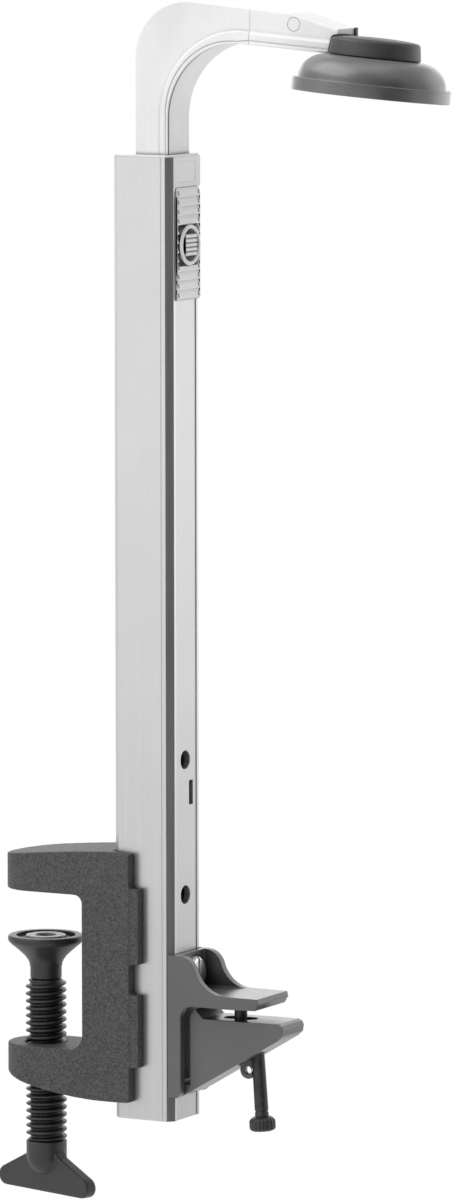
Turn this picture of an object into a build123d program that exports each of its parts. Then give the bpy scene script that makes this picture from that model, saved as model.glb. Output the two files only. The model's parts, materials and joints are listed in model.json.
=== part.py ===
"""Bench-clamped telescopic stand: a hollow column in a G-clamp, a gooseneck mast with a bell-shaped
head that slides out of its top, and a small pinch bracket at its foot.

Frame: origin on the clamp screw's axis, in the plane of the upper jaw's underside (the bench face).
+Z is up, +X runs from the clamp screw to the column and along the mast's arm. Millimetres.
"""

import os
from math import cos, pi, radians, sin, tan

from build123d import *

# Column: a C-section extrusion, open towards +X and closed by an inset strip
COLUMN_X = 54.8
COLUMN_Y = 2.3
COLUMN_BOTTOM = -97.4
COLUMN_HEIGHT = 420.0
COLUMN_W = 29.2
COLUMN_D = 27.4
COLUMN_CORNER = 2.4
COLUMN_WALL = 1.6
STRIP_W = 18.2
STRIP_INSET = 0.4
STRIP_T = 1.8
RAIL_W = 20.6
RAIL_T = 1.6
FIT = 0.1
SLIDE_FIT = 0.3

# Holes of the strip
HOLE_R = 4.0
HOLE_Y = 1.7
HOLE_Z = (60.0, 0.9)
SLOT_Y = (5.0, 8.5)
SLOT_Z = (40.0, 50.7)

# Ribbed grip and release button
GRIP_Y = 3.3
GRIP_W = 20.4
GRIP_Z = (259.9, 308.4)
GRIP_T = 1.2
RIB_PITCH = 4.0
BUTTON_Z = 283.6
BUTTON_R = 8.8
BUTTON_STROKE = 0.8
ROCKER_ARM = 7.0
ROCKER_Z = 271.6

# Telescoping mast and its gooseneck
MAST_X = (49.3, 65.8)
MAST_Y = 2.3
WEB_D = 17.5
LIP_D = 19.8
LIP_W = 4.2
MAST_BOTTOM = 80.0
OUTER_BEND = (73.5, 364.5, 24.2)
INNER_BEND = (98.8, 338.1, 33.0)
LIP_BEND = (99.8, 338.5, 38.2)
TOP_DROOP = 4.3
UNDER_DROOP = 4.5
SEAM_X = 105.5
NOSE_TOP = ((126.2, 384.3), (147.2, 378.0))
NOSE_TIP_X = 147.6
NOSE_PIN = (126.7, 379.7)
NOSE_PIN_R = 3.0

# Bell head, on an axis that leans forwards with the arm and a little to the back
BELL_BASE = (159.6, 0.94, 349.5)
BELL_TILT = 4.72
BELL_ROLL = 3.74
RIM_R = 34.1
RIM_H = 5.5
DOME_R = 31.8
DOME_FLAT_R = 19.5
DOME_TOP = 16.2
CAP_R = 19.9
CAP_SHOULDER = (19.1, 22.8)
CAP_Z = (16.4, 25.0)
TONGUE_Z = (19.2, 22.0)
PIVOT_R = 3.0

# G-clamp
CLAMP_D = 33.4
THROAT_H = 68.4
SPINE_X = 27.3
LAP_X = 50.8
TAB_X = 55.2
TAB_Z = ((-28.8, 4.4), (-74.2, -42.2))
CLAMP_BOLT_Z = (-14.0, -54.0)

# Clamp screw, pad and wing handle
THREAD_R = 9.0
THREAD_ROOT_R = 7.0
THREAD_PITCH = 3.25
THREAD_Z = (-112.4, -40.4)
PAD_R = 16.6
PAD_TOP = -21.2
WING_ANGLE = -17.5
WING_HALF = (24.0, 24.6)
WING_LOBE_R = 4.4
WING_LOBE_Z = -131.0
WING_T = 6.0
HUB_R = 8.9
HUB_H = 7.2

# Pinch bracket at the column's foot
BRACKET_D = 28.0
CHEEK_T = 3.8
LEG_X = 73.6
BRACKET_TOP = -24.0
SHELF_Z = (-45.8, -40.2)
SHELF_TIP_X = 112.0
BRACKET_SCREW_Z = -33.4
JAW_W = 19.8
JAW_SKIN = 2.0
HINGE = (71.9, -83.4)
JAW_PIN_R = 1.2
STUD_X = 96.0
THUMB_TOP = (103.8, -57.5)
THUMB_LEAN = 4.0
THUMB_R = 2.9
STEM_END = 36.4
EYE = (100.1, -73.8)
EYE_R = (1.7, 3.8)


def box(x, y, z):
    """A block between two corners, each given as a (low, high) pair."""
    size = (x[1] - x[0], y[1] - y[0], z[1] - z[0])
    centre = ((x[0] + x[1]) / 2, (y[0] + y[1]) / 2, (z[0] + z[1]) / 2)
    return Pos(*centre) * Box(*size)


def around(centre, width):
    """The (low, high) pair of a width about a centre."""
    return (centre - width / 2, centre + width / 2)


def rod(radius, start, end):
    """A round bar between two points."""
    axis = Vector(*end) - Vector(*start)
    plane = Plane(origin=start, z_dir=axis)
    return plane * Cylinder(radius, axis.length, align=(Align.CENTER, Align.CENTER, Align.MIN))


def along_x(radius, x_low, x_high, y, z):
    return rod(radius, (x_low, y, z), (x_high, y, z))


def along_y(radius, y, x, z):
    return rod(radius, (x, y[0], z), (x, y[1], z))


def hexagon(across_flats, start, end):
    """A hexagonal bar between two points."""
    axis = Vector(*end) - Vector(*start)
    plane = Plane(origin=start, z_dir=axis)
    corner_r = across_flats / 2 / cos(pi / 6)
    return extrude(plane * RegularPolygon(corner_r, 6), axis.length)


def side_prism(outline, y):
    """An XZ outline, a list of edges, extruded between two Y values."""
    face = make_face(outline)
    return Pos(0, y[0], 0) * extrude(face, y[1] - y[0], dir=(0, 1, 0))


def points_xz(points):
    """Closed straight edges through (x, z) points."""
    corners = [(x, 0, z) for x, z in points]
    return Polyline(*corners, close=True).edges()


def turned(points, axis_at=(0, 0)):
    """A solid of revolution from (radius, z) points about the Z axis through axis_at."""
    face = make_face(Polyline(*[(r, 0, z) for r, z in points], close=True).edges())
    return Pos(axis_at[0], axis_at[1], 0) * revolve(face, Axis.Z, 360)


def arc_points(centre, radius, start, end, steps=10):
    """Points of an XZ arc, by angle in degrees from +X."""
    angles = [start + (end - start) * i / steps for i in range(steps + 1)]
    return [(centre[0] + radius * cos(radians(a)), centre[1] + radius * sin(radians(a))) for a in angles]


def largest(shape):
    return max(shape.solids(), key=lambda solid: solid.volume)


# ---------------------------------------------------------------- column

RIGHT = COLUMN_X + COLUMN_W / 2
LEFT = COLUMN_X - COLUMN_W / 2
FRONT = COLUMN_Y - COLUMN_D / 2
BACK = COLUMN_Y + COLUMN_D / 2
COLUMN_TOP = COLUMN_BOTTOM + COLUMN_HEIGHT
COLLAR_T = 0.8
INNER_CORNER = COLUMN_CORNER - COLUMN_WALL / 2
GROOVE_X = RIGHT - COLUMN_CORNER - 2.2
GROOVE_W = 0.5
GROOVE_T = 0.35
BOLT_HOLE_R = 3.1
STRIP_X = (RIGHT - STRIP_INSET - STRIP_T, RIGHT - STRIP_INSET)
RAIL_X = (RIGHT - COLUMN_WALL - RAIL_T, RIGHT - COLUMN_WALL)
VOID_X = (LEFT + COLUMN_WALL, RIGHT - COLUMN_WALL)
VOID_Y = (FRONT + COLUMN_WALL, BACK - COLUMN_WALL)
BUSH_Z = (COLUMN_TOP - COLLAR_T - 12.0, COLUMN_TOP - COLLAR_T)
PLUG_Z = (COLUMN_BOTTOM + 1, COLUMN_BOTTOM + 9)
WINDOW_Y = around(GRIP_Y, 12.0)
WINDOW_Z = (262.0, 281.0)


def column_bar(z):
    """The column's solid outline with its four chamfered corners, over a height."""
    bar = box((LEFT, RIGHT), (FRONT, BACK), z)
    return chamfer(bar.edges().filter_by(Axis.Z), COLUMN_CORNER)


def make_column_tube():
    outer = column_bar((COLUMN_BOTTOM, COLUMN_TOP - COLLAR_T))
    z = (COLUMN_BOTTOM - 1, COLUMN_TOP + 1)
    void = box(VOID_X, VOID_Y, z)
    void = chamfer(void.edges().filter_by(Axis.Z), INNER_CORNER)
    mouth = box((VOID_X[1] - 1, RIGHT + 1), around(COLUMN_Y, STRIP_W + 2 * FIT), z)
    groove_x = (GROOVE_X, GROOVE_X + GROOVE_W)
    grooves = [box(groove_x, (FRONT - 1, FRONT + GROOVE_T), z)]
    grooves.append(box(groove_x, (BACK - GROOVE_T, BACK + 1), z))
    tube = outer - void - mouth - grooves
    for bolt_z in CLAMP_BOLT_Z:
        tube -= along_x(BOLT_HOLE_R, LEFT - 5, LEFT + 5, COLUMN_Y, bolt_z)
    return tube


def make_front_strip():
    plate = box(STRIP_X, around(COLUMN_Y, STRIP_W), (COLUMN_BOTTOM, COLUMN_TOP - COLLAR_T))
    rail = box(RAIL_X, around(COLUMN_Y, RAIL_W), (PLUG_Z[1], BUSH_Z[0] - 1))
    strip = plate + rail
    through = (RIGHT - 9, RIGHT + 5)
    for hole_z in HOLE_Z:
        strip -= along_x(HOLE_R, *through, HOLE_Y, hole_z)
    strip -= box(through, SLOT_Y, SLOT_Z)
    strip -= along_x(BOLT_HOLE_R, *through, COLUMN_Y, BRACKET_SCREW_Z)
    strip -= box(through, WINDOW_Y, WINDOW_Z)
    strip -= along_x(SPRING_POCKET_R, SPRING_X[0], through[1], GRIP_Y, SPRING_Z)
    return strip - make_rocker_pin()


def make_top_guide():
    """The collar plate on the column's end, with the bush that the mast slides in."""
    plate = column_bar((BUSH_Z[1], COLUMN_TOP))
    bush = box((VOID_X[0], STRIP_X[0]), VOID_Y, BUSH_Z)
    bush = chamfer(bush.edges().filter_by(Axis.Z), INNER_CORNER)
    z = (BUSH_Z[0] - 1, COLUMN_TOP + 1)
    web_y = around(MAST_Y, WEB_D + 2 * SLIDE_FIT)
    lip_y = around(MAST_Y, LIP_D + 2 * SLIDE_FIT)
    bore_x = (MAST_X[0] - SLIDE_FIT, MAST_X[1] + SLIDE_FIT)
    lip_x = (MAST_X[1] - LIP_W - SLIDE_FIT, MAST_X[1] + SLIDE_FIT)
    return plate + bush - box(bore_x, web_y, z) - box(lip_x, lip_y, z)


def make_column_end_plug():
    """A tray-shaped plug that closes the column's lower end."""
    plug = box((VOID_X[0], STRIP_X[0]), VOID_Y, PLUG_Z)
    plug = chamfer(plug.edges().filter_by(Axis.Z), INNER_CORNER)
    wall = 2.0
    y = (VOID_Y[0] + wall, VOID_Y[1] - wall)
    return plug - box((VOID_X[0] + wall, STRIP_X[0] - wall), y, (PLUG_Z[0] + wall, PLUG_Z[1] + 1))


# ---------------------------------------------------------------- grip and release

GRIP_X = (RIGHT, RIGHT + GRIP_T)
ROCKER_X = (66.9, 68.0)
ROCKER_PIN_R = 0.5
ROCKER_EYE_R = 1.1
SPRING_Z = BUTTON_Z + 2.2
SPRING_POCKET_R = 3.2
SPRING_X = (STRIP_X[1] - 1.6, STRIP_X[1] + 0.4)
SHOE_X = (MAST_X[1] + 0.1, ROCKER_X[0] - 0.35)
SHOE_Z = around(ROCKER_Z - ROCKER_ARM, 4.0)


def make_grip_plate():
    """A plate of louvres, each a ramp that rises downwards, around the button's round well."""
    y = around(GRIP_Y, GRIP_W)
    skin_x = GRIP_X[0] + 0.3
    grip = box((GRIP_X[0], skin_x + 0.1), y, GRIP_Z)
    grip += box((STRIP_X[1], GRIP_X[0]), around(COLUMN_Y, STRIP_W), GRIP_Z)
    count = int((GRIP_Z[1] - GRIP_Z[0]) / RIB_PITCH)
    ramp_y = (y[0] + 1.6, y[1] - 1.6)
    notch_w = 1.2
    for i in range(count):
        low = GRIP_Z[0] + 0.2 + i * RIB_PITCH
        high = low + RIB_PITCH - 0.4
        ramp = [(skin_x, low), (GRIP_X[1], low + 0.3), (GRIP_X[1], low + 1.0), (skin_x, high)]
        grip += side_prism(points_xz(ramp), ramp_y)
        for edge in ((y[0], y[0] + notch_w), (y[1] - notch_w, y[1])):
            grip += box((skin_x, GRIP_X[1] - 0.2), edge, (low, low + RIB_PITCH / 2))
    well = along_x(BUTTON_R + 0.3, GRIP_X[0] - 1, GRIP_X[1] + 1, GRIP_Y, BUTTON_Z)
    rocker_room = box((STRIP_X[1] - 1, GRIP_X[0]), WINDOW_Y, (WINDOW_Z[0], ROCKER_Z))
    return largest(grip - well - rocker_room)


def make_release_button():
    """A cup with a proud rim and a ribbed floor, on a square plunger that reaches the rocker."""
    face_x = (STRIP_X[1] + BUTTON_STROKE + 0.6, GRIP_X[1] + 2.0)
    button = along_x(BUTTON_R, *face_x, GRIP_Y, BUTTON_Z)
    floor_x = face_x[1] - 1.3
    button -= along_x(BUTTON_R - 1.6, floor_x, face_x[1] + 1, GRIP_Y, BUTTON_Z)
    for i in range(-2, 3):
        z = around(BUTTON_Z + i * 2.0, 1.0)
        button += box((floor_x - 0.1, floor_x + 0.9), around(GRIP_Y, 10.0), z)
    plunger_z = (ROCKER_Z + ROCKER_ARM - 1.0, ROCKER_Z + ROCKER_ARM + 1.0)
    button += box((ROCKER_X[1] + 0.2, face_x[0] + 0.1), around(GRIP_Y, 4.0), plunger_z)
    return button


def make_button_spring():
    """A short coil behind the button, drawn at its pressed length."""
    wire_r = 0.25
    coil = Helix(pitch=0.7, height=SPRING_X[1] - SPRING_X[0] - 2 * wire_r, radius=2.6)
    wire = sweep(Plane(coil @ 0, z_dir=coil % 0) * Circle(wire_r), path=coil)
    return Pos(SPRING_X[0] + wire_r, GRIP_Y, SPRING_Z) * Rot(0, 90, 0) * wire


def make_lock_rocker():
    """A bar on a cross pin: the button pushes its upper end, and its lower end draws the shoe back."""
    reach = ROCKER_ARM + 1.2
    y = around(GRIP_Y, 5.0)
    bar = box(ROCKER_X, y, (ROCKER_Z - reach, ROCKER_Z + reach))
    eye = along_y(ROCKER_EYE_R, y, sum(ROCKER_X) / 2, ROCKER_Z)
    hole = along_y(ROCKER_PIN_R + 0.05, around(GRIP_Y, 18), sum(ROCKER_X) / 2, ROCKER_Z)
    return bar + eye - hole


def make_rocker_pin():
    return along_y(ROCKER_PIN_R, (WINDOW_Y[0] - 2, WINDOW_Y[1] + 2), sum(ROCKER_X) / 2, ROCKER_Z)


def make_lock_shoe():
    """The brake pad that bears on the mast."""
    pad = box(SHOE_X, around(GRIP_Y, 11.0), SHOE_Z)
    return chamfer(pad.edges().filter_by(Axis.Y), 0.15)


# ---------------------------------------------------------------- mast

def bend_end(bend, droop):
    """Where a bend's arc runs tangentially into the drooping arm."""
    angle = radians(90 - droop)
    return (bend[0] + bend[2] * cos(angle), bend[1] + bend[2] * sin(angle))


def arm_z(bend, droop, x):
    """Height of the arm's edge that leaves a bend, at x."""
    start = bend_end(bend, droop)
    return start[1] - (x - start[0]) * tan(radians(droop))


def band_outline(outer, outer_droop, inner, inner_droop, bottom, x_end):
    """Edges of the gooseneck between two bends, from the mast's foot to x_end."""
    outer_low = (outer[0] - outer[2], outer[1])
    inner_low = (inner[0] - inner[2], inner[1])
    outer_high = bend_end(outer, outer_droop)
    inner_high = bend_end(inner, inner_droop)
    outer_mid = (outer[0] - outer[2] * cos(pi / 4), outer[1] + outer[2] * sin(pi / 4))
    inner_mid = (inner[0] - inner[2] * cos(pi / 4), inner[1] + inner[2] * sin(pi / 4))
    top_end = (x_end, arm_z(outer, outer_droop, x_end))
    low_end = (x_end, arm_z(inner, inner_droop, x_end))

    def at(point):
        return (point[0], 0, point[1])

    foot_outer = (outer_low[0], bottom)
    foot_inner = (inner_low[0], bottom)
    return [
        Line(at(foot_outer), at(outer_low)),
        ThreePointArc(at(outer_low), at(outer_mid), at(outer_high)),
        Line(at(outer_high), at(top_end)),
        Line(at(top_end), at(low_end)),
        Line(at(low_end), at(inner_high)),
        ThreePointArc(at(inner_high), at(inner_mid), at(inner_low)),
        Line(at(inner_low), at(foot_inner)),
        Line(at(foot_inner), at(foot_outer)),
    ]


def gooseneck(x_end):
    """The web and the wider lip along its concave side."""
    web = band_outline(OUTER_BEND, TOP_DROOP, INNER_BEND, UNDER_DROOP, MAST_BOTTOM, x_end)
    lip = band_outline(LIP_BEND, UNDER_DROOP, INNER_BEND, UNDER_DROOP, MAST_BOTTOM, x_end)
    return side_prism(web, around(MAST_Y, WEB_D)) + side_prism(lip, around(MAST_Y, LIP_D))


TENON_X = (SEAM_X - 12.0, SEAM_X + 2.0)
TENON_Z = (375.0, 383.5)
TENON_W = 9.0
FOOT_PEG_X = (53.0, 61.0)
FOOT_PEG_W = 10.0


def tenon(grow):
    """The joint block between the gooseneck and its nose."""
    z = (TENON_Z[0] - grow, TENON_Z[1] + grow)
    return box((TENON_X[0] - grow, TENON_X[1]), around(MAST_Y, TENON_W + 2 * grow), z)


def make_mast_arm():
    mast = gooseneck(SEAM_X)
    mast = largest(mast - tenon(FIT))
    socket_z = (MAST_BOTTOM - 1, MAST_BOTTOM + 18)
    return mast - box(FOOT_PEG_X, around(MAST_Y, FOOT_PEG_W), socket_z)


def make_mast_foot():
    """The glide on the mast's lower end, with a peg up inside it."""
    x = (VOID_X[0] + SLIDE_FIT, RAIL_X[0] - SLIDE_FIT)
    y = (VOID_Y[0] + SLIDE_FIT, VOID_Y[1] - SLIDE_FIT)
    foot = box(x, y, (MAST_BOTTOM - 12, MAST_BOTTOM))
    foot = chamfer(foot.edges().filter_by(Axis.Z), INNER_CORNER)
    peg_x = (FOOT_PEG_X[0] + FIT, FOOT_PEG_X[1] - FIT)
    return foot + box(peg_x, around(MAST_Y, FOOT_PEG_W - 2 * FIT), (MAST_BOTTOM - 1, MAST_BOTTOM + 16))


BELL_PLACE = Pos(*BELL_BASE) * Rot(0, BELL_TILT, 0) * Rot(-BELL_ROLL, 0, 0)


def bell_point(height):
    """A point on the bell's axis, height above the rim's plane."""
    return tuple((BELL_PLACE * Pos(0, 0, height)).position)


def on_bell(shape):
    """Stands a shape made about +Z at the origin on the bell's axis."""
    return BELL_PLACE * shape


def bell_box(forward, side, height):
    return on_bell(box(forward, side, height))


BLADE_X = (-47.0, -27.0)
BLADE_Z = (19.2, 28.2)
BLADE_T = 5.0
TONGUE_W = 9.0
CAP_GAP = 0.4


def head_carrier():
    """A blade inside the nose, with a flat tongue that reaches the bell's axis."""
    blade = bell_box(BLADE_X, around(0, BLADE_T), BLADE_Z)
    tongue = bell_box((BLADE_X[1] - 8, 0), around(0, TONGUE_W), TONGUE_Z)
    eye = rod(TONGUE_W / 2, bell_point(TONGUE_Z[0]), bell_point(TONGUE_Z[1]))
    return blade + tongue + eye


DIMPLE = (-10.4, -5.0, 24.6)
STOP_TAB = ((147.7, 148.5), (8.9, 11.1), (373.0, 378.2))
NUT_POCKET_R = 4.4
NUT_H = 1.5
SCREW_HEAD_Z = (10.4, 13.4)
STANDING = (Align.CENTER, Align.CENTER, Align.MIN)


def cap_crown(grow):
    """The cap's side and low crown as (radius, height) points up to the axis."""
    shoulder_r, shoulder_z = CAP_SHOULDER
    crown = [(CAP_R, CAP_Z[0] + 0.5), (shoulder_r, shoulder_z), (shoulder_r - 0.3, shoulder_z + 0.7)]
    crown += [(shoulder_r - 1.0, shoulder_z + 1.15), (12.0, CAP_Z[1] - 0.35), (0, CAP_Z[1])]
    return [(r + grow if r else 0, z + grow) for r, z in crown]


def make_arm_nose():
    body_top = (SEAM_X, arm_z(OUTER_BEND, TOP_DROOP, SEAM_X))
    under = (SEAM_X, arm_z(INNER_BEND, UNDER_DROOP, SEAM_X))
    under_end = (NOSE_TIP_X, arm_z(INNER_BEND, UNDER_DROOP, NOSE_TIP_X))
    tip = (NOSE_TIP_X, NOSE_TOP[1][1] - 0.3)
    web = side_prism(points_xz([body_top, *NOSE_TOP, tip, under_end, under]), around(MAST_Y, WEB_D))
    lip_top = (SEAM_X, arm_z(LIP_BEND, UNDER_DROOP, SEAM_X))
    lip_end = (NOSE_TIP_X, arm_z(LIP_BEND, UNDER_DROOP, NOSE_TIP_X))
    lip = side_prism(points_xz([lip_top, lip_end, under_end, under]), around(MAST_Y, LIP_D))
    nose = web + lip
    nose -= on_bell(Pos(0, 0, -20) * Cylinder(CAP_R + CAP_GAP, 20 + CAP_SHOULDER[1], align=STANDING))
    nose -= on_bell(turned([(0, 0), *cap_crown(CAP_GAP)]))
    nose -= head_carrier()
    nose = largest(nose - along_y(NOSE_PIN_R, around(MAST_Y, LIP_D + 4), *NOSE_PIN))
    return nose + box((TENON_X[0], SEAM_X + 0.1), around(MAST_Y, TENON_W), TENON_Z)


def make_nose_pin():
    return along_y(NOSE_PIN_R, around(MAST_Y, WEB_D), *NOSE_PIN)


def make_head_carrier():
    pivot = rod(PIVOT_R + 0.1, bell_point(TONGUE_Z[0] - 5), bell_point(TONGUE_Z[1] + 5))
    return head_carrier() - along_y(NOSE_PIN_R, around(MAST_Y, LIP_D), *NOSE_PIN) - pivot


# ---------------------------------------------------------------- bell head

def make_bell_cap():
    """The knob on the bell, slotted for the carrier's tongue and pocketed for the nut."""
    cap = turned([(0, CAP_Z[0]), (CAP_R - 0.5, CAP_Z[0]), *cap_crown(0.0)])
    cap -= box((-CAP_R - 1, 0), around(0, TONGUE_W + 2 * FIT), (TONGUE_Z[0] - FIT, TONGUE_Z[1] + FIT))
    eye_h = TONGUE_Z[1] - TONGUE_Z[0] + 2 * FIT
    cap -= Pos(0, 0, sum(TONGUE_Z) / 2) * Cylinder(TONGUE_W / 2 + FIT, eye_h)
    cap -= Pos(0, 0, CAP_Z[0] - 1) * Cylinder(PIVOT_R + 0.1, TONGUE_Z[0] - CAP_Z[0] + 2, align=STANDING)
    cap -= Pos(0, 0, TONGUE_Z[1]) * Cylinder(NUT_POCKET_R, NUT_H + 0.3, align=STANDING)
    cap -= Pos(*DIMPLE) * Cylinder(1.1, 2)
    return on_bell(cap) + box(*STOP_TAB)


def make_bell_cup():
    """A domed shell with a thick rim, open below."""
    shell = 2.4
    rise = DOME_TOP - RIM_H
    run = DOME_R - DOME_FLAT_R
    steps = 12
    quarter = [pi / 2 * i / steps for i in range(steps + 1)]
    outer = [(DOME_FLAT_R + run * cos(a), RIM_H + rise * sin(a)) for a in quarter]
    inner = [(r - shell, z - shell) for r, z in reversed(outer)]
    bore_r = PIVOT_R + 0.06
    brim_r = RIM_R - 3.0
    profile = [(brim_r, 0.0), (RIM_R - 0.4, 0.0), (RIM_R, 0.4), (RIM_R, RIM_H - 0.5), (RIM_R - 0.5, RIM_H)]
    profile += [*outer, (bore_r, DOME_TOP), (bore_r, DOME_TOP - shell), *inner, (brim_r, RIM_H - shell)]
    return on_bell(turned(profile))


def make_bell_screw():
    """The pivot screw, up through the bell and the tongue's eye into the nut."""
    low, high = SCREW_HEAD_Z
    head = rod(6.0, bell_point(low), bell_point(high))
    shank = rod(PIVOT_R, bell_point(high), bell_point(TONGUE_Z[1] + NUT_H))
    drive = hexagon(4.0, bell_point(low - 1), bell_point(low + 1.6))
    return head + shank - drive


def make_bell_nut():
    start = bell_point(TONGUE_Z[1])
    end = bell_point(TONGUE_Z[1] + NUT_H)
    nut = rod(NUT_POCKET_R - 0.3, start, end)
    return nut - rod(PIVOT_R, bell_point(TONGUE_Z[1] - 1), bell_point(TONGUE_Z[1] + NUT_H + 1))


# ---------------------------------------------------------------- G-clamp

BOLT_R = 3.0
BOLT_SEAT_X = SPINE_X + 6.5


def clamp_side_outline():
    """Edges of the frame's side view: jaw, spine and lower arm, in one C."""
    tip = -CLAMP_D / 2

    def at(x, z):
        return (x, 0, z)

    jaw_fillet = 4.0
    arm_fillet = 7.0
    arm_top = -THROAT_H
    return [
        ThreePointArc(at(tip, 15.1), at(12.0, 18.2), at(41.4, 20.2)),
        Line(at(41.4, 20.2), at(LAP_X, 19.4)),
        Line(at(LAP_X, 19.4), at(LAP_X, -89.6)),
        ThreePointArc(at(LAP_X, -89.6), at(16.0, -88.4), at(tip, -80.6)),
        Line(at(tip, -80.6), at(tip, arm_top)),
        Line(at(tip, arm_top), at(SPINE_X - arm_fillet, arm_top)),
        ThreePointArc(
            at(SPINE_X - arm_fillet, arm_top),
            at(SPINE_X - arm_fillet * (1 - sin(pi / 4)), arm_top + arm_fillet * (1 - cos(pi / 4))),
            at(SPINE_X, arm_top + arm_fillet),
        ),
        Line(at(SPINE_X, arm_top + arm_fillet), at(SPINE_X, -jaw_fillet)),
        ThreePointArc(
            at(SPINE_X, -jaw_fillet),
            at(SPINE_X - jaw_fillet * (1 - sin(pi / 4)), -jaw_fillet * (1 - cos(pi / 4))),
            at(SPINE_X - jaw_fillet, 0),
        ),
        Line(at(SPINE_X - jaw_fillet, 0), at(tip, 0)),
        Line(at(tip, 0), at(tip, 15.1)),
    ]


def make_clamp_frame():
    half = CLAMP_D / 2
    frame = side_prism(clamp_side_outline(), (-half, half))
    plan = Pos(0, 0, -120) * Cylinder(half, 260, align=STANDING)
    plan += box((0, LAP_X + 1), (-half, half), (-120, 140))
    frame &= plan
    tall = (COLUMN_BOTTOM - 5, 60)
    frame -= box((LEFT, LAP_X + 1), (FRONT, half + 1), tall)
    for tab_z in TAB_Z:
        frame += box((LAP_X - 1, TAB_X), (-half + 0.5, FRONT), tab_z)
    frame -= Pos(0, 0, -THROAT_H - 12) * Cylinder(THREAD_R + 0.08, 40)
    for bolt_z in CLAMP_BOLT_Z:
        frame -= along_x(BOLT_HOLE_R, SPINE_X - 2, LEFT + 1, COLUMN_Y, bolt_z)
        frame -= along_x(5.6, SPINE_X - 5, BOLT_SEAT_X, COLUMN_Y, bolt_z)
    return frame


def make_clamp_bolts():
    """Two socket-head bolts from the throat, through the spine and the column's wall."""
    bolts = []
    for bolt_z in CLAMP_BOLT_Z:
        head = along_x(5.0, BOLT_SEAT_X - 6.0, BOLT_SEAT_X, COLUMN_Y, bolt_z)
        shank = along_x(BOLT_R, BOLT_SEAT_X, LEFT + 7.2, COLUMN_Y, bolt_z)
        drive = hexagon(5.0, (SPINE_X - 1, COLUMN_Y, bolt_z), (SPINE_X + 3.5, COLUMN_Y, bolt_z))
        bolts.append(head + shank - drive)
    return bolts


def make_clamp_nut_plate():
    """A tapped bar inside the column that the clamp's bolts pull on."""
    z = (min(CLAMP_BOLT_Z) - 8, max(CLAMP_BOLT_Z) + 8)
    bar = box((VOID_X[0], VOID_X[0] + 5), around(COLUMN_Y, 13), z)
    for bolt_z in CLAMP_BOLT_Z:
        bar -= along_x(BOLT_R, VOID_X[0] - 1, VOID_X[0] + 6, COLUMN_Y, bolt_z)
    return bar


# ---------------------------------------------------------------- clamp screw

SPIGOT_R = 5.0
SPIGOT_TOP = PAD_TOP - 6.6
PAD_SCREW_R = 1.9
STUB_Z = (-126.0, THREAD_Z[0])
STUB_R = 5.0


def make_clamp_spindle():
    """The threaded bar, ringed at the thread's pitch, with a spigot for the pad above it."""
    low, high = THREAD_Z
    profile = [(0, STUB_Z[0]), (STUB_R, STUB_Z[0]), (STUB_R, low), (THREAD_ROOT_R, low)]
    turns = int((high - low) / THREAD_PITCH)
    depth = THREAD_R - THREAD_ROOT_R
    for i in range(turns):
        z = low + i * THREAD_PITCH
        profile.append((THREAD_ROOT_R, z + 0.25 * THREAD_PITCH))
        profile.append((THREAD_ROOT_R + depth, z + 0.52 * THREAD_PITCH))
        profile.append((THREAD_ROOT_R + depth, z + 0.68 * THREAD_PITCH))
        profile.append((THREAD_ROOT_R, z + 0.95 * THREAD_PITCH))
    profile += [(THREAD_ROOT_R, high - 0.3), (SPIGOT_R, high - 0.3)]
    profile += [(SPIGOT_R, SPIGOT_TOP), (0, SPIGOT_TOP)]
    spindle = turned(profile)
    spindle -= rod(PAD_SCREW_R, (0, 0, SPIGOT_TOP - 9), (0, 0, SPIGOT_TOP + 1))
    return spindle - handle_pin_bar(10.0)


def handle_pin_bar(half_length):
    lean = radians(WING_ANGLE + 90)
    z = -119.0
    end = (half_length * cos(lean), half_length * sin(lean), z)
    start = (-end[0], -end[1], z)
    return rod(1.5, start, end)


def make_handle_pin():
    return handle_pin_bar(HUB_R - 0.6)


def make_wing_handle():
    """A round hub with a domed end, and a flat wing that spreads to two lobes."""
    low = THREAD_Z[0]
    dome_z = low - HUB_H
    hub = rod(HUB_R, (0, 0, low), (0, 0, dome_z))
    dome = Pos(0, 0, dome_z) * Sphere(HUB_R)
    hub += dome - box((-20, 20), (-20, 20), (dome_z, dome_z + 20))
    half_t = WING_T / 2
    lobe_top = 118.0
    left = arc_points((-WING_HALF[0], WING_LOBE_Z), WING_LOBE_R, lobe_top, 270, 6)
    right = arc_points((WING_HALF[1], WING_LOBE_Z), WING_LOBE_R, -90, 180 - lobe_top, 6)
    shoulder = (HUB_R + 1.6, dome_z + 0.2)
    neck = (HUB_R - 1, low - 3)
    outline = [(-shoulder[0], shoulder[1]), *left, *right, shoulder, neck, (-neck[0], neck[1])]
    wing = side_prism(points_xz(outline), (-half_t, half_t))
    rims = wing.edges().filter_by(lambda e: abs(e.center().Y) > half_t - 0.1 and e.center().Z < neck[1] - 1)
    wing = fillet(rims, 0.9)
    handle = Rot(0, 0, WING_ANGLE) * (hub + wing)
    handle -= rod(STUB_R, (0, 0, STUB_Z[0]), (0, 0, low + 1))
    return handle - handle_pin_bar(HUB_R - 0.6)


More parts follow.
